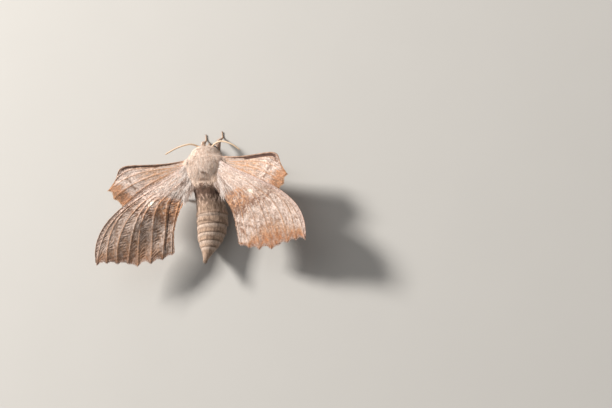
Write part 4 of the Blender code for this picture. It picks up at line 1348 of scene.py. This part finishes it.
def a_length(name, text, millimetres):
    """A small length."""
    return FloatProperty(name=name, description=text, default=millimetres * MM, min=0.0,
                         subtype="DISTANCE", unit="LENGTH", precision=5)


def two_lengths(name, text, left, right):
    """Small lengths of the left and the right side."""
    return FloatVectorProperty(name=name, description=text, default=(left * MM, right * MM),
                               size=2, min=0.0, unit="LENGTH", precision=5)


def two_shares(name, text, left, right):
    """Numbers between nothing and double for the left and the right side."""
    return FloatVectorProperty(name=name, description=text, default=(left, right), size=2,
                               min=0.0, max=2.0, subtype="NONE")


def a_count(name, text, default):
    """A number of tufts, rows or columns."""
    return IntProperty(name=name, description=text, default=default, min=1)


def a_colour(name, text, *default):
    """A colour of a finish."""
    return FloatVectorProperty(name=name, description=text, default=default, subtype="COLOR",
                               size=3, min=0.0, max=1.0)


class MothSizes(bpy.types.PropertyGroup):
    """Sizes of the coat and wings."""

    thorax_core: a_length("Thorax coat depth", "How far the skin lies inside the coat", 0.30)
    abdomen_core: a_length("Abdomen coat depth", "How far the skin lies inside the coat", 0.14)
    thorax_length: a_length("Thorax fur", "Length of the thorax tufts", 1.05)
    head_length: a_length("Head fur", "Length of the head tufts", 0.75)
    abdomen_length: a_length("Abdomen fur", "Length of the abdomen tufts", 0.50)
    wing_thickness: a_length("Wing thickness", "Thickness of a wing plate", 0.20)
    fore_wrinkle: two_lengths("Forewing wrinkles", "Height of the wrinkles", 0.12, 0.06)
    hind_wrinkle: a_length("Hindwing wrinkles", "Height of the wrinkles", 0.045)
    wing_detail: a_count("Wing columns", "Columns between two veins", 14)
    wing_rows: a_count("Wing rows", "Rows from root to margin of a forewing", 240)
    thorax_tufts: a_count("Thorax tufts", "Tufts on the thorax", 17500)
    shoulder_tufts: a_count("Shoulder tufts", "Long tufts over the wing bases", 6500)
    head_tufts: a_count("Head tufts", "Tufts on the head", 9000)
    abdomen_tufts: a_count("Abdomen tufts", "Tufts on the abdomen", 18000)
    fringe_tufts: a_count("Segment tufts", "Tufts along the segment edges", 5200)


class MothColours(bpy.types.PropertyGroup):
    """Colours of the finishes."""

    thorax: a_colour("Thorax", "Pale fur of head and thorax", 0.95, 0.79, 0.69)
    thorax_dark: a_colour("Thorax shade", "Darker fur of head and thorax", 0.76, 0.56, 0.45)
    mark: a_colour("Thorax marks", "Brown marks on the rear thorax", 0.22, 0.115, 0.07)
    abdomen: a_colour("Abdomen", "Beige fur of the abdomen", 0.59, 0.415, 0.3)
    abdomen_dark: a_colour("Abdomen shade", "Darker abdomen fur", 0.32, 0.21, 0.145)
    ring: a_colour("Segment lines", "Dark lines between segments", 0.20, 0.13, 0.09)
    # Dark fur behind the thorax, also painted shade under its rear edge.
    collar_and_shade: a_colour("Waist", "Dark fur just behind the thorax", 0.165, 0.095, 0.065)
    wing_pink: a_colour("Wing pink", "Pinkish ground of the wings", 0.51, 0.365, 0.3)
    wing_white: a_colour("Wing white", "White scales and streaks", 0.76, 0.64, 0.58)
    wing_grey: a_colour("Wing grey", "Grey-brown mottling", 0.30, 0.205, 0.16)
    wing_brown: a_colour("Wing brown", "Brown dashes", 0.23, 0.13, 0.085)
    wing_tan: a_colour("Wing tan", "Tan lines along the wings", 0.56, 0.33, 0.185)
    hair_dark: a_colour("Base hair shade", "Darker hair at the wing bases", 0.4, 0.265, 0.205)
    hair_light: a_colour("Base hair", "Whitish hair at the wing bases", 0.95, 0.84, 0.78)
    band: a_colour("Band", "Rusty middle band", 0.52, 0.265, 0.14)
    band_dark: a_colour("Band shade", "Dark brown in the band", 0.19, 0.09, 0.055)
    rim_light: a_colour("Outer tan", "Paler brown inside the outer margin", 0.47, 0.23, 0.105)
    rim: a_colour("Outer brown", "Orange-brown along the outer margin", 0.36, 0.135, 0.045)
    rim_dark: a_colour("Outer shade", "Darker brown of the margin", 0.22, 0.085, 0.032)
    costa: a_colour("Front edge", "Lilac-grey front edge", 0.56, 0.43, 0.40)
    vein: a_colour("Veins", "Orange-tan veins", 0.5, 0.235, 0.105)
    # Painted shade and wear: warm brown over the outer forewing.
    wear_and_shade_brown: a_colour("Worn wing", "Warm brown of the worn forewing", 0.285, 0.17, 0.102)
    # Painted shade laid in the folds.
    crease: a_colour("Crease", "Dark lines in the folds", 0.05, 0.026, 0.020)
    disc: a_colour("Cell spot", "Cream spot at the end of the cell", 0.92, 0.86, 0.72)
    rust_patch: a_colour("Rust patch", "Rusty base of the hindwing", 0.36, 0.095, 0.045)
    # Painted shade: the strip behind the hindwing's upturned front edge.
    strip: a_colour("Hindwing strip", "Dark strip behind the front edge", 0.075, 0.030, 0.020)
    eye: a_colour("Eye", "Dark eye", 0.020, 0.012, 0.010)
    eye_light: a_colour("Eye glow", "Brown glow in the eye", 0.07, 0.04, 0.025)
    antenna: a_colour("Antenna", "Cream antenna", 0.78, 0.6, 0.43)
    antenna_tip: a_colour("Antenna tip", "Tip of the antenna", 0.68, 0.50, 0.34)
    leg: a_colour("Leg", "Orange-brown leg", 0.46, 0.265, 0.17)
    leg_pale: a_colour("Leg scales", "Pale scales on the legs", 0.78, 0.64, 0.54)
    foot: a_colour("Foot", "Tan foot", 0.52, 0.35, 0.24)
    floor: a_colour("Floor", "Pale floor", 0.52, 0.515, 0.50)
    # Left and right differ to paint light: a brighter left forewing base and painted shade towards
    # its margin.
    fore_shade: two_shares("Forewing scales", "Brightness of the forewing's base", 1.50, 0.93)
    fore_fade: two_shares("Forewing fade", "Loss of brightness towards the margin", 0.58, 0.0)
    # Painted highlight and shade on the forewing's wrinkles and folds and painted shade on its
    # outer part, strongest on the left, with wear.
    fore_wear: two_shares("Forewing wear", "Colour of the forewing's wrinkles", 0.9, 0.35)
    fore_rim: two_shares("Forewing rim", "Strength of the outer brown", 0.70, 0.92)
    fore_veins: two_shares("Forewing veins", "Strength of the veins' colour", 0.82, 0.55)
    # Painted light: a brighter left hindwing, whitened towards the margin, partly by white scales.
    hind_shade: two_shares("Hindwing scales", "Brightness of the hindwing", 1.16, 1.0)
    hind_pale: two_shares("Hindwing bloom", "White scales on the hindwing", 0.42, 0.10)
    # Reach of the painted shade strip, narrower on the left.
    hind_strip: two_shares("Hindwing strip", "Depth of the dark strip", 0.55, 0.95)


class StageOperator(bpy.types.Operator):
    """Add the floor, lamps and camera"""

    bl_idname = "moth.add_stage"
    bl_label = "Add Stage"

    def execute(self, context):
        add_floor(context.scene.moth_colours)
        for name, values in LAMPS.items():
            add_lamp(name, *values)
        add_air(context.scene)
        add_camera()
        return {"FINISHED"}


class BodyOperator(bpy.types.Operator):
    """Add the skin of head, thorax and abdomen, with its coat"""

    bl_idname = "moth.add_body"
    bl_label = "Add Body"

    def execute(self, context):
        sizes, colours = context.scene.moth_sizes, context.scene.moth_colours
        skin = body_skin(sizes, body_finish(colours, "body_skin", False))
        coat = body_finish(colours, "body_coat", True)
        for grow in (thorax_coat, shoulder_coat, head_coat, abdomen_coat, segment_fringes):
            grow(skin, sizes, coat)
        return {"FINISHED"}


class HeadOperator(bpy.types.Operator):
    """Add the eyes, palps and antennae"""

    bl_idname = "moth.add_head_parts"
    bl_label = "Add Eyes, Palps and Antennae"

    def execute(self, context):
        colours = context.scene.moth_colours
        lenses = eye_finish(colours)
        rings = limb_finish("antenna_rings", colours.antenna, colours.antenna_tip, (0.7, 1.0))
        core = limb_finish("palp_core", colours.leg, colours.abdomen, (0.2, 0.9))
        fur = hair_finish("palp_fur", colours.abdomen_dark, colours.abdomen)
        for side in SIDES:
            eye(side, lenses)
            antenna(side, rings)
            palp(side, core, fur)
        return {"FINISHED"}


class LegOperator(bpy.types.Operator):
    """Add the six legs"""

    bl_idname = "moth.add_legs"
    bl_label = "Add Legs"

    def execute(self, context):
        colours = context.scene.moth_colours
        ends = (colours.leg, colours.foot, (0.55, 0.75))
        skin = limb_finish("leg_skin", *ends)
        scales = limb_finish("leg_scales", *ends, colours.leg_pale)
        for side in SIDES:
            for pair in LEGS:
                leg(pair, side, skin, scales)
        return {"FINISHED"}


class ForewingOperator(bpy.types.Operator):
    """Add both forewings with their hair and fringe"""

    bl_idname = "moth.add_forewings"
    bl_label = "Add Forewings"

    def execute(self, context):
        sizes, colours = context.scene.moth_sizes, context.scene.moth_colours
        hair = hair_finish("forewing_hair", colours.hair_dark, colours.hair_light)
        fringe = hair_finish("forewing_fringe", colours.rim_dark, colours.wing_pink)
        for side in SIDES:
            wing(FOREWING, side, sizes, forewing_finish(colours, side))
            wing_hair(FOREWING, side, hair)
            wing_fringe(FOREWING, side, fringe)
        return {"FINISHED"}


class HindwingOperator(bpy.types.Operator):
    """Add both hindwings with their hair and fringe"""

    bl_idname = "moth.add_hindwings"
    bl_label = "Add Hindwings"

    def execute(self, context):
        sizes, colours = context.scene.moth_sizes, context.scene.moth_colours
        hair = hair_finish("hindwing_hair", colours.wing_tan, colours.wing_white)
        fringe = hair_finish("hindwing_fringe", colours.rim, colours.wing_tan)
        for side in SIDES:
            wing(HINDWING, side, sizes, hindwing_finish(colours, side))
            wing_hair(HINDWING, side, hair)
            wing_fringe(HINDWING, side, fringe)
        return {"FINISHED"}


class MothPanel(bpy.types.Panel):
    """Sizes, colours and pieces of the moth"""

    bl_label = "Poplar Hawk Moth"
    bl_idname = "VIEW3D_PT_moth"
    bl_space_type = "VIEW_3D"
    bl_region_type = "UI"
    bl_category = "Moth"

    def draw(self, context):
        for settings in (context.scene.moth_sizes, context.scene.moth_colours):
            box = self.layout.box()
            for key in type(settings).__annotations__:
                box.prop(settings, key)
        for operator in OPERATORS:
            self.layout.operator(operator.bl_idname)


OPERATORS = (StageOperator, BodyOperator, HeadOperator, LegOperator, HindwingOperator,
             ForewingOperator)
CLASSES = (MothSizes, MothColours, *OPERATORS, MothPanel)


def register():
    """Add the classes and their settings to Blender."""
    for item in CLASSES:
        bpy.utils.register_class(item)
    bpy.types.Scene.moth_sizes = PointerProperty(type=MothSizes)
    bpy.types.Scene.moth_colours = PointerProperty(type=MothColours)


def unregister():
    """Take the classes and their settings away again."""
    del bpy.types.Scene.moth_colours
    del bpy.types.Scene.moth_sizes
    for item in reversed(CLASSES):
        bpy.utils.unregister_class(item)


def main():
    """Build the moth and its stage."""
    register()
    bpy.ops.moth.add_stage()
    bpy.ops.moth.add_body()
    bpy.ops.moth.add_head_parts()
    bpy.ops.moth.add_legs()
    bpy.ops.moth.add_hindwings()
    bpy.ops.moth.add_forewings()


if __name__ == "__main__":
    main()
